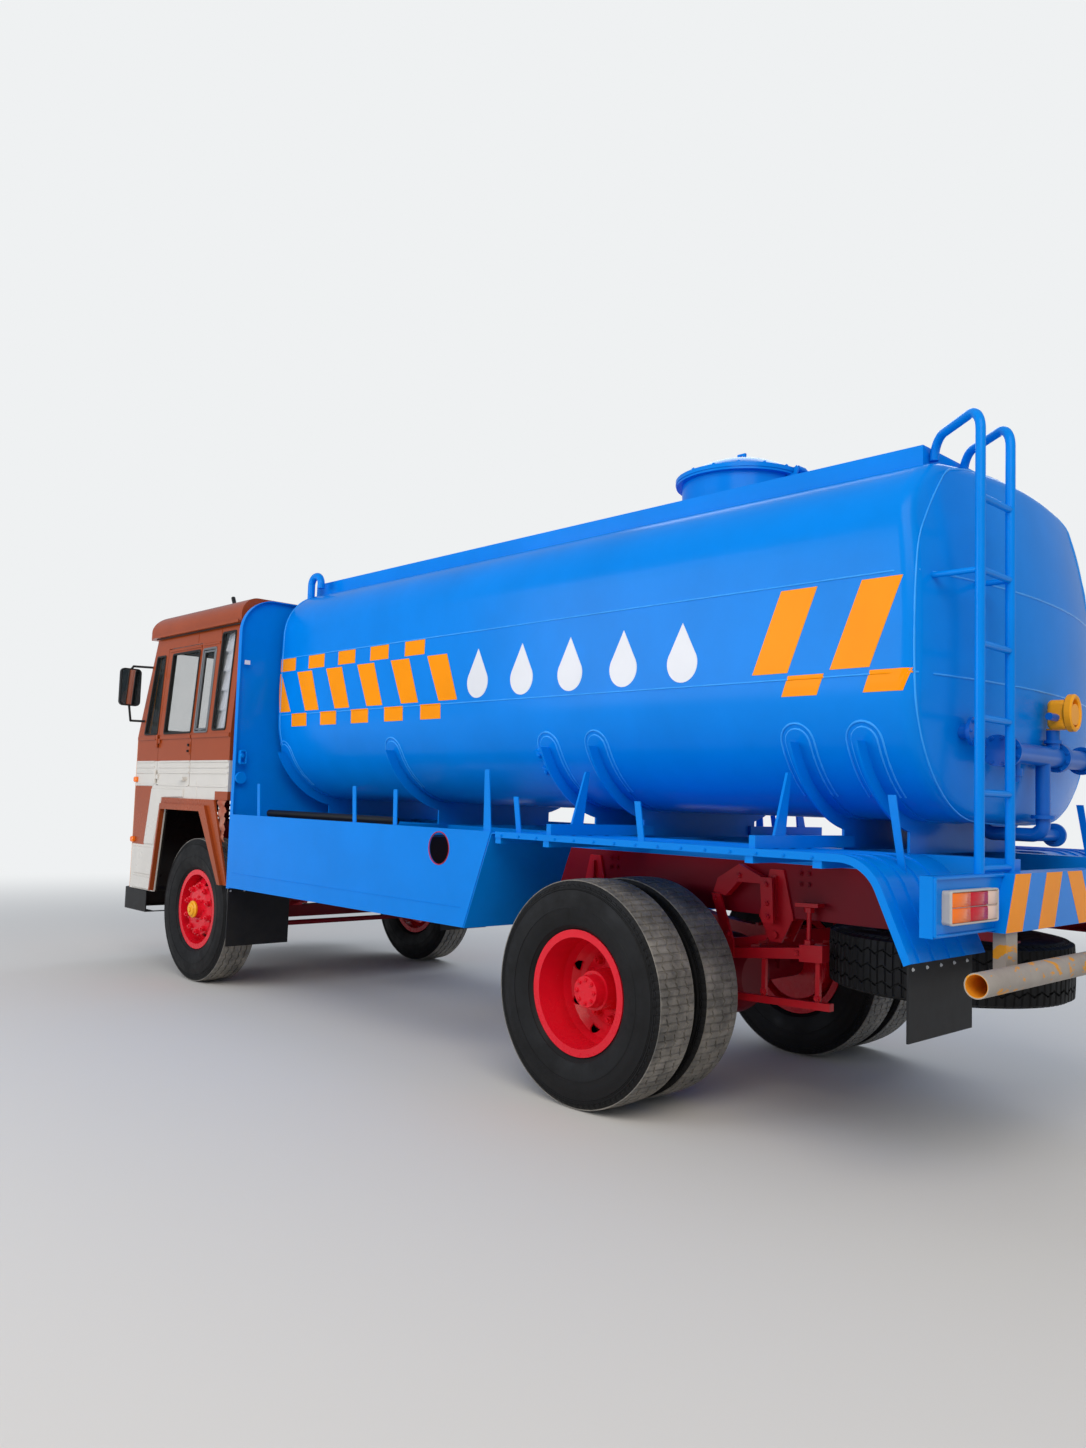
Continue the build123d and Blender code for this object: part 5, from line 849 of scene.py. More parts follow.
def rect(u0, z0, u1, z1):
    """The corners of a rectangle, from one corner to the opposite one."""
    return [(u0, z0), (u1, z0), (u1, z1), (u0, z1)]


def patch(pile, corners, mark=0, steps=8):
    """A four-cornered patch."""
    outline = []
    for k in range(4):
        (y0, z0), (y1, z1) = corners[k], corners[(k + 1) % 4]
        outline += [(y0 + (y1 - y0) * s / steps, z0 + (z1 - z0) * s / steps) for s in range(steps)]
    middle = (sum(y for y, _ in corners) / 4, sum(z for _, z in corners) / 4)
    decal(pile, outline, middle, mark)


BAND_TOP, BAND_LOW = (2.265, 2.355), (1.870, 1.960)
BAR_Z = (2.250, 1.975)
beads("seams_under_squares", "root", yellow_band, over_squares, 0.0045, step=0.035, ripple=0.2)
marks = Pile()
for k in range(5):
    y = -1.581 + PITCH * k
    patch(marks, rect(y, BAND_TOP[1], y + 0.200, BAND_TOP[0]))
    patch(marks, [(y + 0.229, BAR_Z[0]), (y + 0.419, BAR_Z[0]), (y + 0.529, BAR_Z[1]), (y + 0.357, BAR_Z[1])])
    patch(marks, rect(y + 0.181, BAND_LOW[1], y + 0.376, BAND_LOW[0]))
patch(marks, [(-1.606, BAR_Z[0]), (-1.568, BAR_Z[0]), (-1.420, BAR_Z[1]), (-1.572, BAR_Z[1])])
for y in (2.638, 3.022):
    patch(marks, [(y, 2.340), (y + 0.178, 2.340), (y + 0.037, 1.984), (y - 0.143, 1.984)])
    patch(marks, [(y + 0.040, 1.971), (y + 0.214, 1.971), (y + 0.180, 1.883), (y + 0.008, 1.883)])
DROP_COUNT, DROP_R, DROP_TIP = 5, 0.090, 0.190
DROP_FIRST_Y, DROP_STEP, DROP_Z = 0.62, 0.37, 2.066
for k in range(DROP_COUNT):
    y, z = DROP_FIRST_Y + DROP_STEP * k, DROP_Z
    drop = [(y + DROP_R * math.sin(math.radians(a)), z - DROP_R * math.cos(math.radians(a)))
            for a in range(-125, 126, 10)]
    drop.append((y, z + DROP_TIP))
    decal(marks, drop, (y, z + 0.015), 1)
marks.build("tank_markings", "root", "blue_paint", yellow_band, white_gloss)


# Plates and rings on flat faces: pressed panels, frames and lenses are laid on a face by a function that
# turns (along, height, out of the face) into a place.
CAB_HALF_W, TUMBLEHOME, WAIST_Z, GUTTER_Z = 1.150, 0.055, 1.830, 2.620
CAB_FRONT_Y, CAB_REAR_Y, SCREEN_LEAN = -3.500, -1.825, 0.170


def lean(z):
    """How far up the leaning part of the cab a height is, from 0 at the waist to 1 at the gutter."""
    return max(0.0, (z - WAIST_Z) / (GUTTER_Z - WAIST_Z))


def on_side(side):
    return lambda y, z, out: (side * (CAB_HALF_W - TUMBLEHOME * lean(z) + out), y, z)


def on_front(x, z, out):
    return (x, CAB_FRONT_Y + SCREEN_LEAN * lean(z) - out, z)


def facing_rear(y):
    return lambda x, z, out: (x, y + out, z)


def moved_in(outline, gap):
    """An outline with each edge moved in by a gap; a negative gap moves it out."""
    area = sum(a[0] * b[1] - b[0] * a[1] for a, b in zip(outline, outline[1:] + outline[:1]))
    turn = 1 if area > 0 else -1
    made = []
    for before, here, after in zip(outline[-1:] + outline[:-1], outline, outline[1:] + outline[:1]):
        a = Vector((here[0] - before[0], here[1] - before[1])).normalized()
        b = Vector((after[0] - here[0], after[1] - here[1])).normalized()
        na, nb = Vector((-a.y, a.x)) * turn, Vector((-b.y, b.x)) * turn
        way = na + nb
        way *= gap / max(0.2, way.dot(na))
        made.append((here[0] + way.x, here[1] + way.y))
    return made


def rounded(corners, r, steps=5):
    """An outline with its corners rounded."""
    made = []
    for before, here, after in zip(corners[-1:] + corners[:-1], corners, corners[1:] + corners[:1]):
        p = Vector(here)
        a, b = (Vector(before) - p).normalized(), (Vector(after) - p).normalized()
        half = a.angle(b) / 2
        back = r / math.tan(half)
        centre = p + (a + b).normalized() * (r / math.sin(half))
        start, end = p + a * back - centre, p + b * back - centre
        swing = start.angle_signed(end)
        for k in range(steps + 1):
            angle = -swing * k / steps
            c, s = math.cos(angle), math.sin(angle)
            made.append((centre.x + start.x * c - start.y * s, centre.y + start.x * s + start.y * c))
    return made


def plate(pile, place, outline, high, chamfer=0.0015, mark=0, sunk=0.003):
    """A plate of an outline on a face, standing out by high, with a chamfered edge."""
    inner = moved_in(outline, chamfer)
    rings = [[place(u, z, -sunk) for u, z in outline], [place(u, z, high - chamfer) for u, z in outline],
             [place(u, z, high) for u, z in inner]]
    banded(pile, rings, mark)


def frame_ring(pile, place, corners, r, inner, outer, high, deep, mark=0):
    """A frame round an opening: inner and outer are how far it reaches in and out from the opening's edge."""
    path = rounded(corners, r)
    small = 0.3 * min(high, inner + outer)
    rings = []
    for gap, out in ((-outer, -0.004), (-outer, high - small), (-outer + small, high), (inner - small, high),
                     (inner, high - small), (inner, -deep)):
        rings.append([place(u, z, out) for u, z in moved_in(path, gap)])
    banded(pile, rings, mark, closed=True)


# Rear lamps and striped bumper: a boxed steel bumper with chevrons in yellow on blue, and on each lamp plate
# a moulded cluster in a pale grey rim, amber, red and clear in two rows divided by a pale bar.
STRIPES = (  # top from and to, foot from and to, across the bumper
    (0.640, 0.497, 0.726, 0.580), (0.345, 0.188, 0.430, 0.272), (0.135, -0.018, 0.014, -0.135),
    (-0.170, -0.325, -0.290, -0.445), (-0.480, -0.638, -0.600, -0.726),
)
BUMPER_BACK, BUMPER_Z = 3.525, (0.971, 1.189)
stripes = Pile()
for top0, top1, low0, low1 in STRIPES:
    plate(stripes, facing_rear(BUMPER_BACK), [(low0, BUMPER_Z[0]), (top0, BUMPER_Z[1]), (top1, BUMPER_Z[1]),
                                              (low1, BUMPER_Z[0])], 0.0009, 0.0003, sunk=0.0005)
stripes.build("bumper_stripes", "root", "blue_paint", yellow_band)


def lens_plastic(name, colour, see=0.0):
    """Moulded acrylic: coloured through, ribbed inside, with a polished face."""
    finish, tree, shader = new_finish(name, {"Base Color": linear(colour), "Roughness": 0.12, "IOR": 1.49,
                                             "Transmission Weight": see})
    where = add(tree, "ShaderNodeTexCoord").outputs["Object"]
    ribs = add(tree, "ShaderNodeTexWave", {"Vector": where, "Scale": 60.0}, bands_direction="Z")
    bump = add(tree, "ShaderNodeBump", {"Strength": 0.25, "Distance": 0.0015, "Height": ribs.outputs["Fac"]})
    feed(tree, shader, {"Normal": bump.outputs[0]})
    return finish


amber_lens = lens_plastic("amber_acrylic_lens", "#FF7A00")
red_lens = lens_plastic("red_acrylic_lens", "#C80820")
clear_lens = lens_plastic("clear_acrylic_lens", "#E8C9B8")
pale_rim = enamel("pale_grey_moulded_rim", "#C4C0BA", roughness=0.4, mottle=0.04, dirt=0.15, dirt_high=1.6)
LAMP_X, LAMP_Z, LAMP_BACK = (0.760, 1.138), (1.020, 1.140), 3.507
finish_nodes(pale_rim, "lamps")
for side, word in SIDES:
    cluster = Pile()
    box = rect(side * LAMP_X[0], LAMP_Z[0], side * LAMP_X[1], LAMP_Z[1])
    frame_ring(cluster, facing_rear(LAMP_BACK), box, 0.010, 0.006, 0.001, 0.007, 0.002)
    mid = (LAMP_Z[0] + LAMP_Z[1]) / 2
    cells = ((LAMP_X[0] + 0.007, LAMP_X[0] + 0.085, 3), (LAMP_X[0] + 0.086, LAMP_X[0] + 0.226, 2),
             (LAMP_X[0] + 0.227, LAMP_X[1] - 0.007, 1))
    for x0, x1, mark in cells:
        for z0, z1 in ((LAMP_Z[0] + 0.007, mid - 0.0015), (mid + 0.0015, LAMP_Z[1] - 0.007)):
            plate(cluster, facing_rear(LAMP_BACK), rect(side * x0, z0, side * x1, z1), 0.006, 0.004, mark)
    cluster.build(f"tail_lamp_cluster_{word}", "root", "lamp_lens", pale_rim, amber_lens, red_lens,
                  clear_lens, smooth_angle=50)

rims = Pile()
for side in (1, -1):
    frame_ring(rims, facing_rear(3.477), rect(side * 0.606, 0.981, side * 1.196, 1.184), 0.004, 0.007, 0.004,
               0.010, 0.001)
rims.build("lamp_plate_rims", "root", "blue_paint", blue_gloss, smooth_angle=40)


# Underrun bar: a plain steel pipe in beige primer, with flakes of an older yellow coat showing through, and
# the same yellow left inside its ends. Its posts are in the same primer.
def flakes(tree, x, y, z):
    where = add(tree, "ShaderNodeTexCoord").outputs["Object"]
    stretched = add(tree, "ShaderNodeMapping", {"Vector": where, "Scale": (9.0, 14.0, 14.0)})
    cloud = add(tree, "ShaderNodeTexNoise", {"Vector": stretched.outputs[0], "Scale": 1.0, "Detail": 6.0,
                                             "Roughness": 0.65, "Distortion": 0.6})
    return add(tree, "ShaderNodeMapRange", {0: cloud.outputs["Fac"], 1: 0.565, 2: 0.585}).outputs[0]


def inside_pipe(tree, x, y, z):
    dy, dz = [add(tree, "ShaderNodeMath", {0: value, 1: middle}, operation="SUBTRACT").outputs[0]
              for value, middle in ((y, UNDERRUN_Y), (z, UNDERRUN_Z))]
    flat = add(tree, "ShaderNodeCombineXYZ", {0: dy, 1: dz})
    r = add(tree, "ShaderNodeVectorMath", {0: flat.outputs[0]}, operation="LENGTH")
    return add(tree, "ShaderNodeMath", {0: r.outputs["Value"], 1: UNDERRUN_BORE_R},
               operation="LESS_THAN").outputs[0]


UNDERRUN_Y, UNDERRUN_Z, UNDERRUN_BORE_R = 3.580, 0.820, 0.0405
primer = enamel("beige_primer_over_yellow", "#A69D93", roughness=0.5, mottle=0.14, dirt=0.35, dirt_high=1.4,
                zones=(("#E39A22", flakes), ("#F0A020", inside_pipe)))
finish_nodes(primer, "underrun_bar")

# Mud flaps and the carried hose: sheets cut from black belting, dusty towards the road, screwed under the
# fender and the headboard with zinc-plated screws.
belting = enamel("black_rubber_belting", "#0C0D10", roughness=0.5, mottle=0.12, dirt=0.4, dirt_high=1.0,
                 orange_peel=0.3, dirt_colour="#3F3A34")
zinc = enamel("dull_zinc_plate", "#B8BBBD", roughness=0.38, mottle=0.1, dirt=0.4, dirt_high=1.4)
finish_nodes(belting, "mud_flaps", "carried_hose")
FLAP_SCREWS_X = [0.745 + 0.105 * k for k in range(5)]
FLAP_TOPS = ((3.3855, 0.856), (-1.673, 0.712))  # Y and Z of the screws in the rear and the front flap
flap_spots = [((side * x, y, z), (0, 1, 0)) for side in (1, -1) for x in FLAP_SCREWS_X for y, z in FLAP_TOPS]
bolts("flap_screws", "root", zinc, flap_spots, 0.005, 0.005)

# Fender and chassis fasteners: small bolts along the fender's rolled edge, and rows of rivet-like bolts where
# the cross members meet the rails.
FENDER_FACE_X, RAIL_FACE_X = 1.1995, 0.4298
FENDER_BOLTS_Y = [1.20 + 0.128 * k for k in range(15)]
CROSS_MEMBERS_Y = (-3.372, -1.372, -0.282, 0.268, 1.268, 2.468, 3.168)
fender_bolt_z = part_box("rear_fenders")[1][2] - 0.018
fender_spots = [((side * FENDER_FACE_X, y, fender_bolt_z), (side, 0, 0)) for side in (1, -1)
                for y in FENDER_BOLTS_Y]
rail_spots = [((side * RAIL_FACE_X, y + dy, z), (side, 0, 0)) for side in (1, -1) for y in CROSS_MEMBERS_Y
              for dy in (-0.022, 0.022) for z in (1.112, 1.062)]
bolts("fender_bolts", "root", blue_gloss, fender_spots, 0.0065, 0.006)
bolts("rail_bolts", "root", red_oxide, rail_spots, 0.011, 0.010)

# Side panels: each is two sheets lapped and seam-welded along a low line, with the rim of its round hole
# dressed in the red of the chassis.
PANEL_FACE_X, PANEL_SEAM_Z = 1.2002, 0.842
HOLE_Y, HOLE_Z, HOLE_R = 0.695, 1.138, 0.087
panel_seams = [[(side * PANEL_FACE_X, -1.60 + 0.1 * k, PANEL_SEAM_Z) for k in range(26)] for side in (1, -1)]
beads("panel_seams", "root", blue_gloss, panel_seams, 0.0022, step=0.1, ripple=0.1)
round_hole = [(HOLE_Y + HOLE_R * math.cos(math.radians(a)), HOLE_Z + HOLE_R * math.sin(math.radians(a)))
              for a in range(0, 361, 10)]
hole_rims = [[(side * 1.2003, y, z) for y, z in round_hole] for side in (1, -1)]
beads("panel_hole_rims", "root", bright_red, hole_rims, 0.003, step=0.015)


# Pipework: steel pipe and flanges in the body's blue, bolted up, with the gate valve's gearbox in yellow. The
# gearbox is a cast hoop round its worm wheel.
def where_all(tree, tests):
    """A mask that holds where every test does; a test is a socket, a comparison and a limit."""
    masks = [add(tree, "ShaderNodeMath", {0: value, 1: limit}, operation=comparison).outputs[0]
             for value, comparison, limit in tests]
    mask = masks[0]
    for other in masks[1:]:
        mask = add(tree, "ShaderNodeMath", {0: mask, 1: other}, operation="MULTIPLY").outputs[0]
    return mask


def valve_yellow(tree, x, y, z):
    return where_all(tree, ((z, "GREATER_THAN", VALVE_LOW_Z), (x, "LESS_THAN", VALVE_EDGE_X),
                            (y, "GREATER_THAN", VALVE_FRONT_Y)))


VALVE_LOW_Z, VALVE_EDGE_X, VALVE_FRONT_Y = 1.788, -0.021, 3.30
pipe_blue = enamel("blue_enamel_on_pipe", "#0060C0", roughness=0.28, mottle=0.12, dirt=0.15, dirt_high=1.6,
                   zones=(("#F5A415", valve_yellow),))
valve_cast = enamel("yellow_enamel_on_casting", "#F5A415", roughness=0.3, mottle=0.1, dirt=0.25,
                    dirt_high=2.2, orange_peel=0.3)
finish_nodes(pipe_blue, "pipework")
PIPE_Y, PIPE_Z = 3.387, 1.670
HOOP_X, HOOP_Z, HOOP_HALF_W, HOOP_HALF_H = -0.070, 1.862, 0.062, 0.078
FLANGES_X, FLANGE_T, FLANGE_BOLT_CIRCLE = (-0.410, -0.118, 0.392, 0.476), 0.014, 0.053
gearbox = Pile()
hoop = [(HOOP_X + HOOP_HALF_W * math.cos(math.radians(a)), HOOP_Z + HOOP_HALF_H * math.sin(math.radians(a)))
        for a in range(0, 360, 12)]
frame_ring(gearbox, facing_rear(3.462), hoop, 0.002, 0.016, 0.004, 0.026, 0.02)
gearbox.build("valve_gear_hoop", "root", "blue_paint", valve_cast, smooth_angle=40)
flange_spots = []
for x in FLANGES_X:
    flange_spots += [((x + FLANGE_T - 0.0005, y, z), (1, 0, 0))
                     for y, z in circle(PIPE_Y, PIPE_Z, FLANGE_BOLT_CIRCLE, 8, 0.5)]
flange_spots += [((x, 3.3495, z), (0, 1, 0)) for x, z in circle(0.600, 1.740, 0.044, 6)]
bolts("flange_bolts", "root", pipe_blue, flange_spots, 0.0075, 0.008)

# Manhole: a domed lid on a flanged neck, held down by bolts round its rim.
LID_Y, LID_BOLT_CIRCLE, LID_RIM_TOP = 1.745, 0.345, 3.2072
rim_spots = [((x, y, LID_RIM_TOP), (0, 0, 1)) for x, y in circle(0.0, LID_Y, LID_BOLT_CIRCLE, 16, 0.5)]
bolts("manhole_lid_bolts", "manhole_lid", blue_gloss, rim_spots, 0.010, 0.010)

# Cab: sheet steel on a frame, hand-painted in three enamels. The front and its pillars are orange, all above
# the white band is red-brown, below it the sides are white with a red-brown patch ahead of the wheel. Faces
# that look inwards are near-black: painted shade for the dark inside of the cab and its wheel arch.
BAND_Z = 1.623
PATCH = (0.955, 1.424, -3.198, 0.2175)  # from and to height, its rear edge at the foot, and that edge's slope


def cab_brown(tree, x, y, z):
    return where_all(tree, ((z, "GREATER_THAN", BAND_Z),))


def cab_patch(tree, x, y, z):
    up = add(tree, "ShaderNodeMath", {0: z, 1: PATCH[0]}, operation="SUBTRACT")
    edge = add(tree, "ShaderNodeMath", {0: up.outputs[0], 1: PATCH[3], 2: PATCH[2]}, operation="MULTIPLY_ADD")
    return where_all(tree, ((z, "GREATER_THAN", PATCH[0]), (z, "LESS_THAN", PATCH[1]),
                            (y, "LESS_THAN", edge.outputs[0])))


def cab_orange(tree, x, y, z):
    edge = add(tree, "ShaderNodeMapRange", {0: z, 1: WAIST_Z, 2: GUTTER_Z, 3: CAB_FRONT_Y + 0.075,
                                            4: CAB_FRONT_Y + SCREEN_LEAN + 0.060})
    return add(tree, "ShaderNodeMath", {0: y, 1: edge.outputs[0]}, operation="LESS_THAN").outputs[0]


def cab_inside_painted_shade(tree, x, y, z):
    """Painted shade: faces that look inwards, clear of the rounded front corners and the outside of the rear
    wall, go near-black for the shade inside the cab and its wheel arch.
    """
    out = add(tree, "ShaderNodeMath", {0: x}, operation="ABSOLUTE")
    side_x = add(tree, "ShaderNodeMapRange", {0: z, 1: WAIST_Z, 2: GUTTER_Z, 3: CAB_HALF_W - 0.012,
                                              4: CAB_HALF_W - TUMBLEHOME - 0.012})
    front_y = add(tree, "ShaderNodeMapRange", {0: z, 1: WAIST_Z, 2: GUTTER_Z, 3: CAB_FRONT_Y,
                                               4: CAB_FRONT_Y + SCREEN_LEAN})
    behind = add(tree, "ShaderNodeMath", {0: y, 1: front_y.outputs[0]}, operation="SUBTRACT")
    pair = [where_all(tree, ((behind.outputs[0], "GREATER_THAN", gap), (out.outputs[0], "LESS_THAN", limit)))
            for gap, limit in ((0.020, 1.030), (0.100, side_x.outputs[0]))]
    either = add(tree, "ShaderNodeMath", {0: pair[0], 1: pair[1]}, operation="MAXIMUM")
    ahead_of = where_all(tree, ((y, "LESS_THAN", CAB_REAR_Y - 0.012),))
    return add(tree, "ShaderNodeMath", {0: either.outputs[0], 1: ahead_of}, operation="MULTIPLY").outputs[0]


def cab_rear_leg(tree, x, y, z):
    return where_all(tree, ((z, "LESS_THAN", 1.40), (y, "GREATER_THAN", -2.02)))


# The last colour is painted shade: a near-black laid on inward faces where the cab and its wheel arch lie in
# shade.
BROWN, WHITE, ORANGE, INSIDE_SHADE_PAINT = "#9B4319", "#D4CFC6", "#F09014", "#24211F"
cab_coat = enamel("hand_painted_cab_enamel_with_painted_shade", WHITE, roughness=0.26, mottle=0.04, dirt=0.16, dirt_high=1.3,
                  wave=0.15,
                  zones=((BROWN, cab_brown), (BROWN, cab_patch), (BROWN, cab_rear_leg), (ORANGE, cab_orange),
                         (INSIDE_SHADE_PAINT, cab_inside_painted_shade)))
brown_coat = enamel("red_brown_enamel", BROWN, roughness=0.26, mottle=0.10, dirt=0.2, dirt_high=1.5, wave=0.2)
white_coat = enamel("warm_white_enamel", WHITE, roughness=0.26, mottle=0.04, dirt=0.16, dirt_high=1.3)
finish_nodes(cab_coat, "cab_front", "cab_sides", "cab_rear_wall", "door_left", "door_right")
finish_nodes(brown_coat, "cab_roof", "arch_trims")
DOOR_Y = (-3.030, -2.440)
SIDE_FROM, SIDE_TO = -3.405, -1.832
SHUT = 0.008
MOULDINGS = ((WAIST_Z - 0.038, WAIST_Z - 0.008, 0.012), (BAND_Z - 0.014, BAND_Z + 0.002, 0.008),
             (BAND_Z - 0.056, BAND_Z - 0.040, 0.008), (BAND_Z - 0.098, BAND_Z - 0.082, 0.008),
             (BAND_Z - 0.196, BAND_Z - 0.182, 0.006))
for side, word in SIDES:
    face = on_side(side)
    fixed, moving = Pile(), Pile()
    for z0, z1, high in MOULDINGS:
        mark = 0 if z0 > BAND_Z else 1
        for pile, y0, y1 in ((fixed, SIDE_FROM, DOOR_Y[0] - SHUT - 0.035),
                             (moving, DOOR_Y[0] + 0.050, DOOR_Y[1] - 0.014),
                             (fixed, DOOR_Y[1] + SHUT, SIDE_TO)):
            plate(pile, face, rect(y0, z0, y1, z1), high, 0.003, mark)
    # the pressed leg ahead of the wheel arch and the two stepped blocks at the front corner
    plate(fixed, face, [(-3.185, 0.962), (-3.000, 0.962), (-2.892, 1.335), (-2.520, 1.345), (-2.520, 1.408),
                        (-3.090, 1.408)], 0.012, 0.008, 1)
    plate(fixed, face, [(-3.345, 0.722), (-3.010, 0.722), (-2.992, 0.940), (-3.372, 0.940)], 0.009, 0.006, 1)
    plate(fixed, face, [(-3.360, 0.606), (-3.015, 0.606), (-3.012, 0.705), (-3.350, 0.705)], 0.016, 0.008, 1)
    # sheet joints behind the door and over the windows
    plate(fixed, face, [(-2.322, 1.352), (-2.312, 1.352), (-2.318, 1.48), (-2.328, 1.48)], 0.002, 0.001, 1)
    for y in (-2.520, -2.140):
        plate(fixed, face, [(y - 0.004, 2.535), (y + 0.004, 2.535), (y, 2.600), (y - 0.008, 2.600)], 0.003,
              0.001, 0)
    plate(fixed, face, rect(-2.410, 2.498, -2.145, 2.516), 0.008, 0.003, 0)
    plate(moving, face, rect(-2.995, 2.494, -2.452, 2.512), 0.008, 0.003, 0)
    fixed.build(f"cab_mouldings_{word}", "root", "cab_paint", brown_coat, white_coat, smooth_angle=25)
    moving.build(f"door_mouldings_{word}", f"door_{word}", "cab_paint", brown_coat, white_coat,
                 smooth_angle=25)

# Windows: panes of tempered glass in black rubber gaskets, and in the side window a slider in an aluminium
# frame. Behind the narrow rear window hangs a silvery curtain gathered in five tiers.
gasket = enamel("black_rubber_gasket", "#1B1A19", roughness=0.6, mottle=0.05, dirt=0.3, dirt_high=3.0)
aluminium = enamel("weathered_aluminium_frame", "#7E8183", roughness=0.42, mottle=0.12, dirt=0.3,
                   dirt_high=3.0)
aluminium.node_tree.nodes["Principled BSDF"].inputs["Metallic"].default_value = 0.6


def window_glass(name, colour, dense):
    """Thin soda-lime panes: a green-grey tint that lets most light through, with a little dust on it."""
    finish, tree, shader = new_finish(name, {"Roughness": 0.03, "IOR": 1.52, "Specular IOR Level": 1.0,
                                             "Alpha": dense})
    where = add(tree, "ShaderNodeTexCoord").outputs["Object"]
    film = add(tree, "ShaderNodeTexNoise", {"Vector": where, "Scale": 5.0, "Detail": 6.0, "Roughness": 0.7})
    dust = add(tree, "ShaderNodeMapRange", {0: film.outputs["Fac"], 1: 0.45, 2: 0.8, 3: 0.0, 4: 0.5})
    tint = add(tree, "ShaderNodeMix", {0: dust.outputs[0], 6: linear(colour), 7: linear("#8C857A")},
               data_type="RGBA")
    feed(tree, shader, {"Base Color": tint.outputs[2]})
    return finish


clear_glass = window_glass("tempered_window_glass", "#34403F", 0.16)
finish_nodes(clear_glass, "cab_glass", "door_glass_left", "door_glass_right")
WINDOWS = (  # moves with the door, corners, and marks of the frame's material
    (False, [(-3.295, 1.842), (-3.067, 1.842), (-3.080, 2.470), (-3.225, 2.470)], 0),
    (True, rect(-2.935, 1.842, -2.470, 2.470), 0),
    (False, rect(-2.405, 1.842, -2.200, 2.470), 1),
    (False, rect(-2.115, 1.852, -1.917, 2.570), 0),
)
for side, word in SIDES:
    fixed, moving = Pile(), Pile()
    for moves, corners, mark in WINDOWS:
        frame_ring(moving if moves else fixed, on_side(side), corners, 0.012, 0.005, 0.010, 0.006, 0.010,
                   mark)
    frame_ring(fixed, on_side(side), rect(-2.403, 1.846, -2.202, 2.466), 0.010, 0.022,
               -0.008, 0.003, 0.008, 1)
    fixed.build(f"window_frames_{word}", "root", "black_paint", gasket, aluminium, smooth_angle=40)
    moving.build(f"door_window_frame_{word}", f"door_{word}", "black_paint", gasket, aluminium,
                 smooth_angle=40)
screens = Pile()
for side in (1, -1):
    frame_ring(screens, on_front, rect(side * 0.028, 1.885, side * 0.985, 2.545), 0.030, 0.012, 0.014, 0.008,
               0.010)
frame_ring(screens, facing_rear(CAB_REAR_Y), rect(-0.42, 2.08, 0.42, 2.44), 0.030, 0.010,
           0.014, 0.008, 0.010)
screens.build("screen_gaskets", "root", "black_paint", gasket, smooth_angle=40)


def satin_cloth():
    """Thin polyester satin: silvery, with a fine weave and a soft sheen along its folds."""
    finish, tree, shader = new_finish("silver_polyester_satin", {"Roughness": 0.38, "Sheen Weight": 0.6})
    where = add(tree, "ShaderNodeTexCoord").outputs["Object"]
    weave = add(tree, "ShaderNodeTexWave", {"Vector": where, "Scale": 180.0, "Distortion": 0.4},
                bands_direction="Y")
    tone = add(tree, "ShaderNodeMapRange", {0: weave.outputs["Fac"], 3: 0.9, 4: 1.05})
    cloth = add(tree, "ShaderNodeMix", {0: 1.0, 6: linear("#EDF1F8"), 7: tone.outputs[0]}, data_type="RGBA",
                blend_type="MULTIPLY")
    bump = add(tree, "ShaderNodeBump", {"Strength": 0.3, "Distance": 0.0004, "Height": weave.outputs["Fac"]})
    feed(tree, shader, {"Base Color": cloth.outputs[2], "Normal": bump.outputs[0]})
    return finish


satin = satin_cloth()
TIERS, PLEATS = 5, 6
FINE_FOLD, FINE_DRIFT = 0.3, 0.2
FOLD_DEEP = (0.002, 0.017)  # at the top of a tier, and how much deeper at its foot
CURTAIN_Y, CURTAIN_Z = (-2.175, -1.870), (1.845, 2.580)
for side, word in SIDES:
    columns, rows = 81, 101
    spots, cloth_faces = [], []
    for j in range(rows):
        v = j / (rows - 1)
        down = (v * TIERS) % 1.0 if j < rows - 1 else 1.0
        z = CURTAIN_Z[1] + (CURTAIN_Z[0] - CURTAIN_Z[1]) * v
        for i in range(columns):
            u = i / (columns - 1)
            finer = math.sin(2 * math.pi * (PLEATS * 2.0 * u + FINE_DRIFT * v))
            fold = math.sin(2 * math.pi * PLEATS * u) + FINE_FOLD * finer
            depth = FOLD_DEEP[0] + FOLD_DEEP[1] * down
            y = CURTAIN_Y[0] + (CURTAIN_Y[1] - CURTAIN_Y[0]) * u
            x = CAB_HALF_W - TUMBLEHOME * lean(z) - 0.056 + depth * fold + 0.006 * down
            spots.append((side * x, y, z))
    for j in range(rows - 1):
        for i in range(columns - 1):
            a = j * columns + i
            cloth_faces.append((a, a + 1, a + columns + 1, a + columns))
    curtain = mesh_object(f"cab_curtain_{word}", spots, cloth_faces, satin, smooth=True)
    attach(curtain, "root")

# Mirrors: black steel arms and cases, each with a silvered glass that faces the rear.
silvered = new_finish("silvered_mirror_glass", {"Base Color": linear("#C9D0D4"), "Metallic": 1.0,
                                                "Roughness": 0.04})[0]
MIRROR_X, MIRROR_BACK, MIRROR_Z = 1.265, -3.359, (2.070, 2.375)
for side, word in SIDES:
    glass = Pile()
    corners = rect(side * MIRROR_X - 0.085, MIRROR_Z[0], side * MIRROR_X + 0.085, MIRROR_Z[1])
    pane = rounded(moved_in(corners, 0.010), 0.028)
    plate(glass, facing_rear(MIRROR_BACK), pane, 0.002, 0.0008, 0)
    frame_ring(glass, facing_rear(MIRROR_BACK), corners, 0.035, 0.010, -0.001, 0.006, 0.001, 1)
    glass.build(f"mirror_glass_{word}", "root", "black_paint", silvered, under_black, smooth_angle=40)

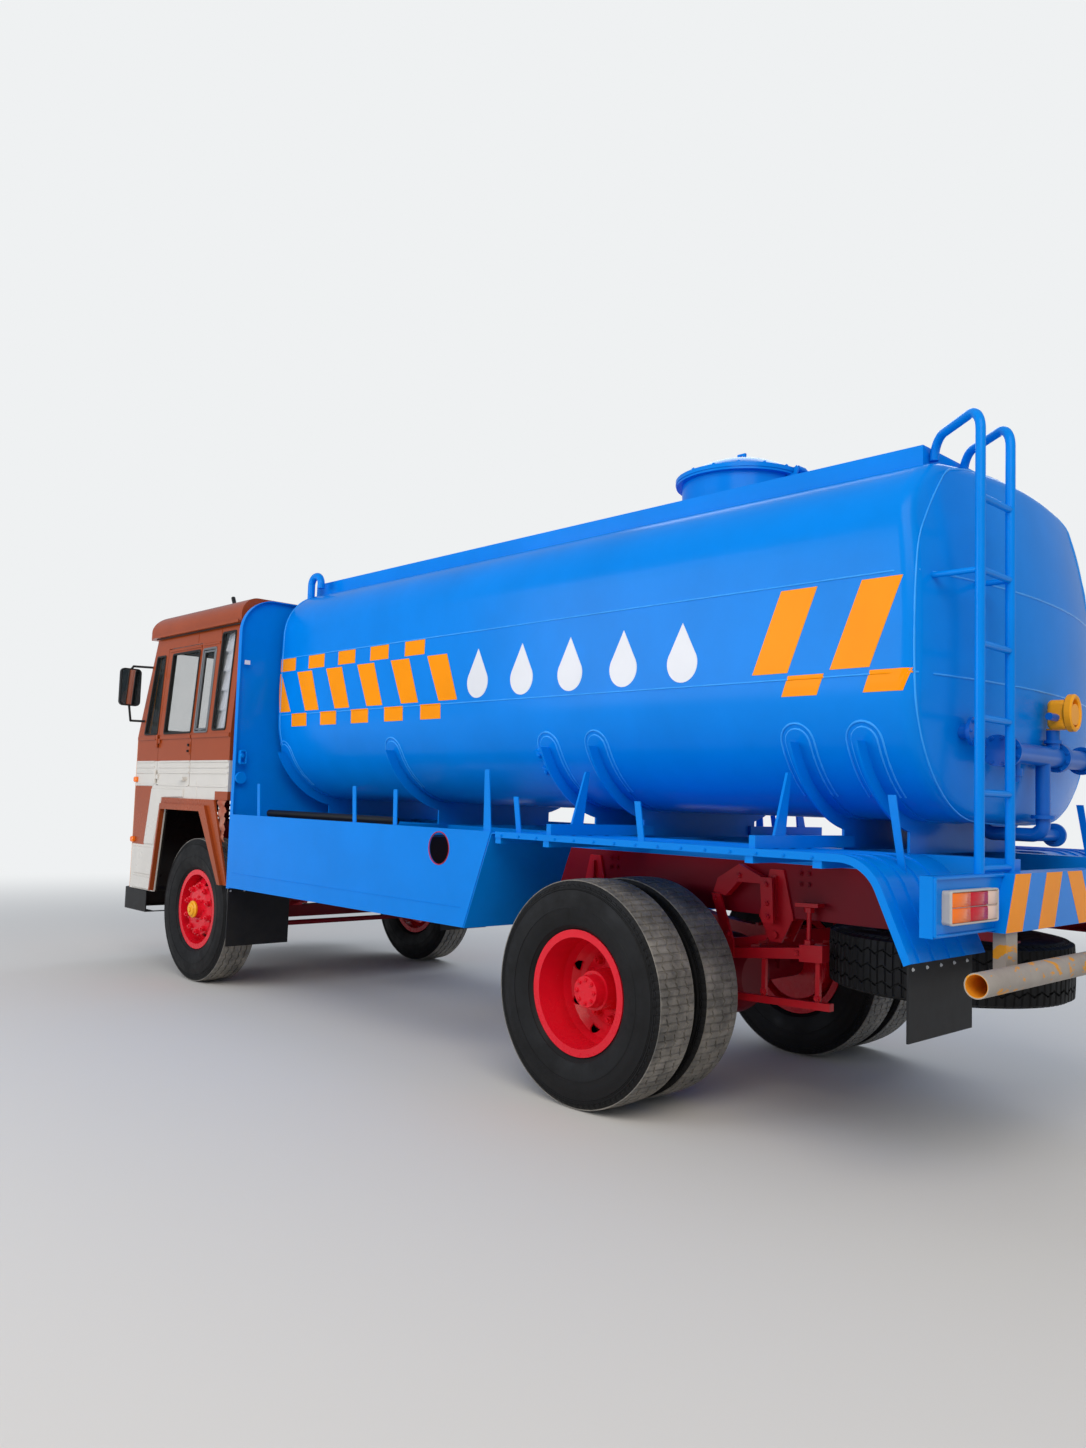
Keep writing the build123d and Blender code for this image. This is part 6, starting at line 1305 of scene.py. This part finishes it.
# Front: two round head lamps in chromed bezels, wipers parked on the screens, and a blank number plate.
chrome = new_finish("chrome_plated_steel",
                    {"Base Color": linear("#D6D8DA"), "Metallic": 1.0, "Roughness": 0.12})[0]
HEAD_LAMP_X, HEAD_LAMP_Z = 0.760, 1.200
fluted = lens_plastic("fluted_head_lamp_glass", "#E6ECEE")
face_lamps = Pile()
for side in (1, -1):
    place = (side * HEAD_LAMP_X, CAB_FRONT_Y, HEAD_LAMP_Z)
    ring = [(0.0, 0.092), (0.0, 0.116), (-0.012, 0.118), (-0.030, 0.112), (-0.048, 0.102), (-0.052, 0.092),
            (-0.046, 0.088)]
    face_lamps.put(*lathe(ring, 40, place, axis="Y"), 0)
    dome = [(-0.046, 0.0), (-0.0465, 0.090), (-0.050, 0.088), (-0.060, 0.060), (-0.064, 0.030), (-0.065, 0.0)]
    face_lamps.put(*lathe(dome, 40, place, axis="Y"), 1)
plate(face_lamps, on_front, rounded(rect(-0.26, 0.92, 0.26, 1.035), 0.01), 0.006, 0.002, 2)
face_lamps.build("head_lamps_and_plate", "root", "lamp_lens", chrome, fluted, white_coat, smooth_angle=35)
wiper_lines = []
for side in (1, -1):
    wiper_lines.append([on_front(side * 0.70, 1.865, 0.012), on_front(side * 0.62, 1.905, 0.024),
                        on_front(side * 0.30, 1.985, 0.020)])
    wiper_lines.append([on_front(side * 0.52, 1.905, 0.014), on_front(side * 0.08, 2.045, 0.014)])
beads("wipers", "root", under_black, wiper_lines, 0.006, step=0.03)

# Small fittings on the cab: amber marker lamps on the front corners, a lock and pull on each door, the roof
# aerial's foot, and the strip of perished, rust-stained seal that hangs between the cab and the headboard.
chipped = enamel("rust_stained_seal", "#9A4428", roughness=0.75, mottle=0.5, dirt=0.7, dirt_high=3.0,
                 orange_peel=0.8, dirt_colour="#C9B7A4")
fittings = Pile()
for side in (1, -1):
    for z in (1.475, 0.99):
        plate(fittings, on_side(side), rounded(rect(-3.425, z - 0.022, -3.375, z + 0.022), 0.012), 0.022,
              0.006, 0)
fittings.build("marker_lamps", "root", "lamp_lens", amber_lens, smooth_angle=40)
for side, word in SIDES:
    lock = Pile()
    plate(lock, on_side(side), rounded(rect(-2.500, 1.672, -2.460, 1.765), 0.006), 0.004, 0.002, 0)
    for z, flats, high, r, chamfer in ((1.742, 14, 0.012, 0.011, 0.003), (1.697, 12, 0.016, 0.009, 0.004)):
        lock.put(*prism(on_side(side)(-2.480, z, 0.003), (side, 0, 0), flats, high, r, chamfer), 1)
    lock.build(f"door_lock_{word}", f"door_{word}", "cab_paint", brown_coat, under_black, smooth_angle=40)
aerial = Pile()
aerial.put(*prism((0.86, -2.42, 2.790), (0.10, 0.10, 1), 12, 0.045, 0.030, 0.006))
aerial.put(*prism((0.865, -2.415, 2.83), (0.05, -0.45, 1), 10, 0.095, 0.016, 0.004))
aerial.build("roof_aerial_foot", "root", "black_paint", under_black, smooth_angle=40)
seal = Pile()
for side in (1, -1):
    rows_of = []
    for k in range(29):
        share = k / 28
        z = 1.338 - 0.30 * share
        torn = 0.008 * math.sin(31 * share) + 0.006 * math.sin(73 * share + 1)
        back = -1.868 + 0.010 * math.sin(19 * share + 2) + torn
        fore = -1.985 + 0.050 * share - torn * 0.5
        x = 1.139 + 0.006 * math.sin(23 * share)
        rows_of.append([(side * x, fore, z), (side * (x + 0.010), (fore + back) / 2, z), (side * x, back, z),
                        (side * (x - 0.006), (fore + back) / 2, z)])
    banded(seal, rows_of)
seal.build("cab_rear_seal", "root", "trim_paint", chipped, smooth_angle=60)
beads("roof_drip_seal", "root", gasket,
      [[(side * 1.117, -3.24, 2.6165), (side * 1.117, -1.83, 2.6165)] for side in (1, -1)], 0.005)

# Inside: seats of foam under brown leathercloth with sewn channels, and a dash and floor in dull grey.
lining = enamel("grey_cab_lining", "#3A3734", roughness=0.7, mottle=0.12, dirt=0.4, dirt_high=3.0)
finish_nodes(lining, "cab_interior", "cab_floor")


def leathercloth():
    """Vinyl-coated cloth: dull brown with a pebbled grain about a millimetre across."""
    finish, tree, shader = new_finish("brown_leathercloth", {"Roughness": 0.5})
    where = add(tree, "ShaderNodeTexCoord").outputs["Object"]
    grain = add(tree, "ShaderNodeTexVoronoi", {"Vector": where, "Scale": 500.0})
    wear = add(tree, "ShaderNodeTexNoise", {"Vector": where, "Scale": 9.0, "Detail": 5.0})
    tone = add(tree, "ShaderNodeMapRange", {0: wear.outputs["Fac"], 1: 0.3, 2: 0.7, 3: 0.75, 4: 1.15})
    hide = add(tree, "ShaderNodeMix", {0: 1.0, 6: linear("#5A2F20"), 7: tone.outputs[0]}, data_type="RGBA",
               blend_type="MULTIPLY")
    bump = add(tree, "ShaderNodeBump", {"Strength": 0.3, "Distance": 0.0006,
                                        "Height": grain.outputs["Distance"]})
    feed(tree, shader, {"Base Color": hide.outputs[2], "Normal": bump.outputs[0]})
    return finish


seat_hide = leathercloth()
CHANNELS = 5


def pad(name, centre, size, tilt_deg):
    """A stuffed pad: rounded in plan, crowned on both faces, sides pulled in, with sewn channels across."""
    wide, deep, high = (v / 2 for v in size)
    around, up = 64, 25
    turn = Matrix.Rotation(math.radians(tilt_deg), 3, "X")
    rings = []
    for j in range(1, up):
        phi = math.pi * j / up
        ring_of = []
        for i in range(around):
            t = 2 * math.pi * i / around
            c, s = math.cos(t), math.sin(t)
            edge = (abs(c) ** 5 + abs(s) ** 5) ** (-1 / 5)
            flat = math.sin(phi) ** 0.35
            pull = 1 - 0.035 * (abs(c * s) < 0.35) * math.sin(phi) ** 6
            x, y = c * edge * flat * pull * wide, s * edge * flat * pull * deep
            crown = math.copysign(abs(math.cos(phi)) ** 0.55, math.cos(phi))
            groove = 0.10 * math.exp(-((((x / wide + 1) * CHANNELS / 2) % 1.0 - 0.5) / 0.07) ** 2)
            z = crown * high * (1 - groove * (abs(crown) > 0.4)) * (0.86 + 0.14 * (1 - (x / wide) ** 2))
            ring_of.append(Vector(centre) + turn @ Vector((x, y, z)))
        rings.append(ring_of)
    stuffed = Pile()
    banded(stuffed, rings)
    piece = stuffed.build(name, "root", "seat_cover", seat_hide, smooth_angle=75)
    return piece


SEAT_X = 0.640
for side, word in SIDES:
    pad(f"seat_cushion_{word}", (side * SEAT_X, -2.510, 1.740), (0.500, 0.450, 0.118), 0)
    pad(f"seat_back_{word}", (side * SEAT_X, -2.245, 2.050), (0.480, 0.560, 0.108), 78)
    box_seat = Pile()
    base = rounded(rect(side * SEAT_X - 0.188, -2.683, side * SEAT_X + 0.188, -2.327), 0.02)
    banded(box_seat, [[(x, y, z) for x, y in moved_in(base, gap)]
                      for z, gap in ((1.401, 0.0), (1.672, 0.0), (1.682, 0.010))])
    box_seat.build(f"seat_base_{word}", "root", "seat_cover", lining, smooth_angle=35)
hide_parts("seats")

# Headboard fittings: a hinged latch, a round cap and a small white marker on the sheet behind the cab.
HEADBOARD_BACK = -1.650
fittings = Pile()
board = facing_rear(HEADBOARD_BACK)
for side in (1, -1):
    frame_ring(fittings, board, rect(side * 1.120, 1.60, side * 1.165, 1.69), 0.010,
               0.008, 0.006, 0.024, 0.004)
    fittings.put(*prism((side * 1.155, -1.652, 1.655), (0, 1, 0), 16, 0.034, 0.015, 0.004), 0)
    fittings.put(*prism((side * 1.146, -1.652, 1.500), (0, 1, 0), 28, 0.014, 0.043, 0.004), 0)
    plate(fittings, board, rect(side * 1.12, 2.30, side * 1.16, 2.33),
          0.004, 0.001, 1)
fittings.build("headboard_fittings", "root", "blue_paint", blue_gloss, white_gloss, smooth_angle=40)
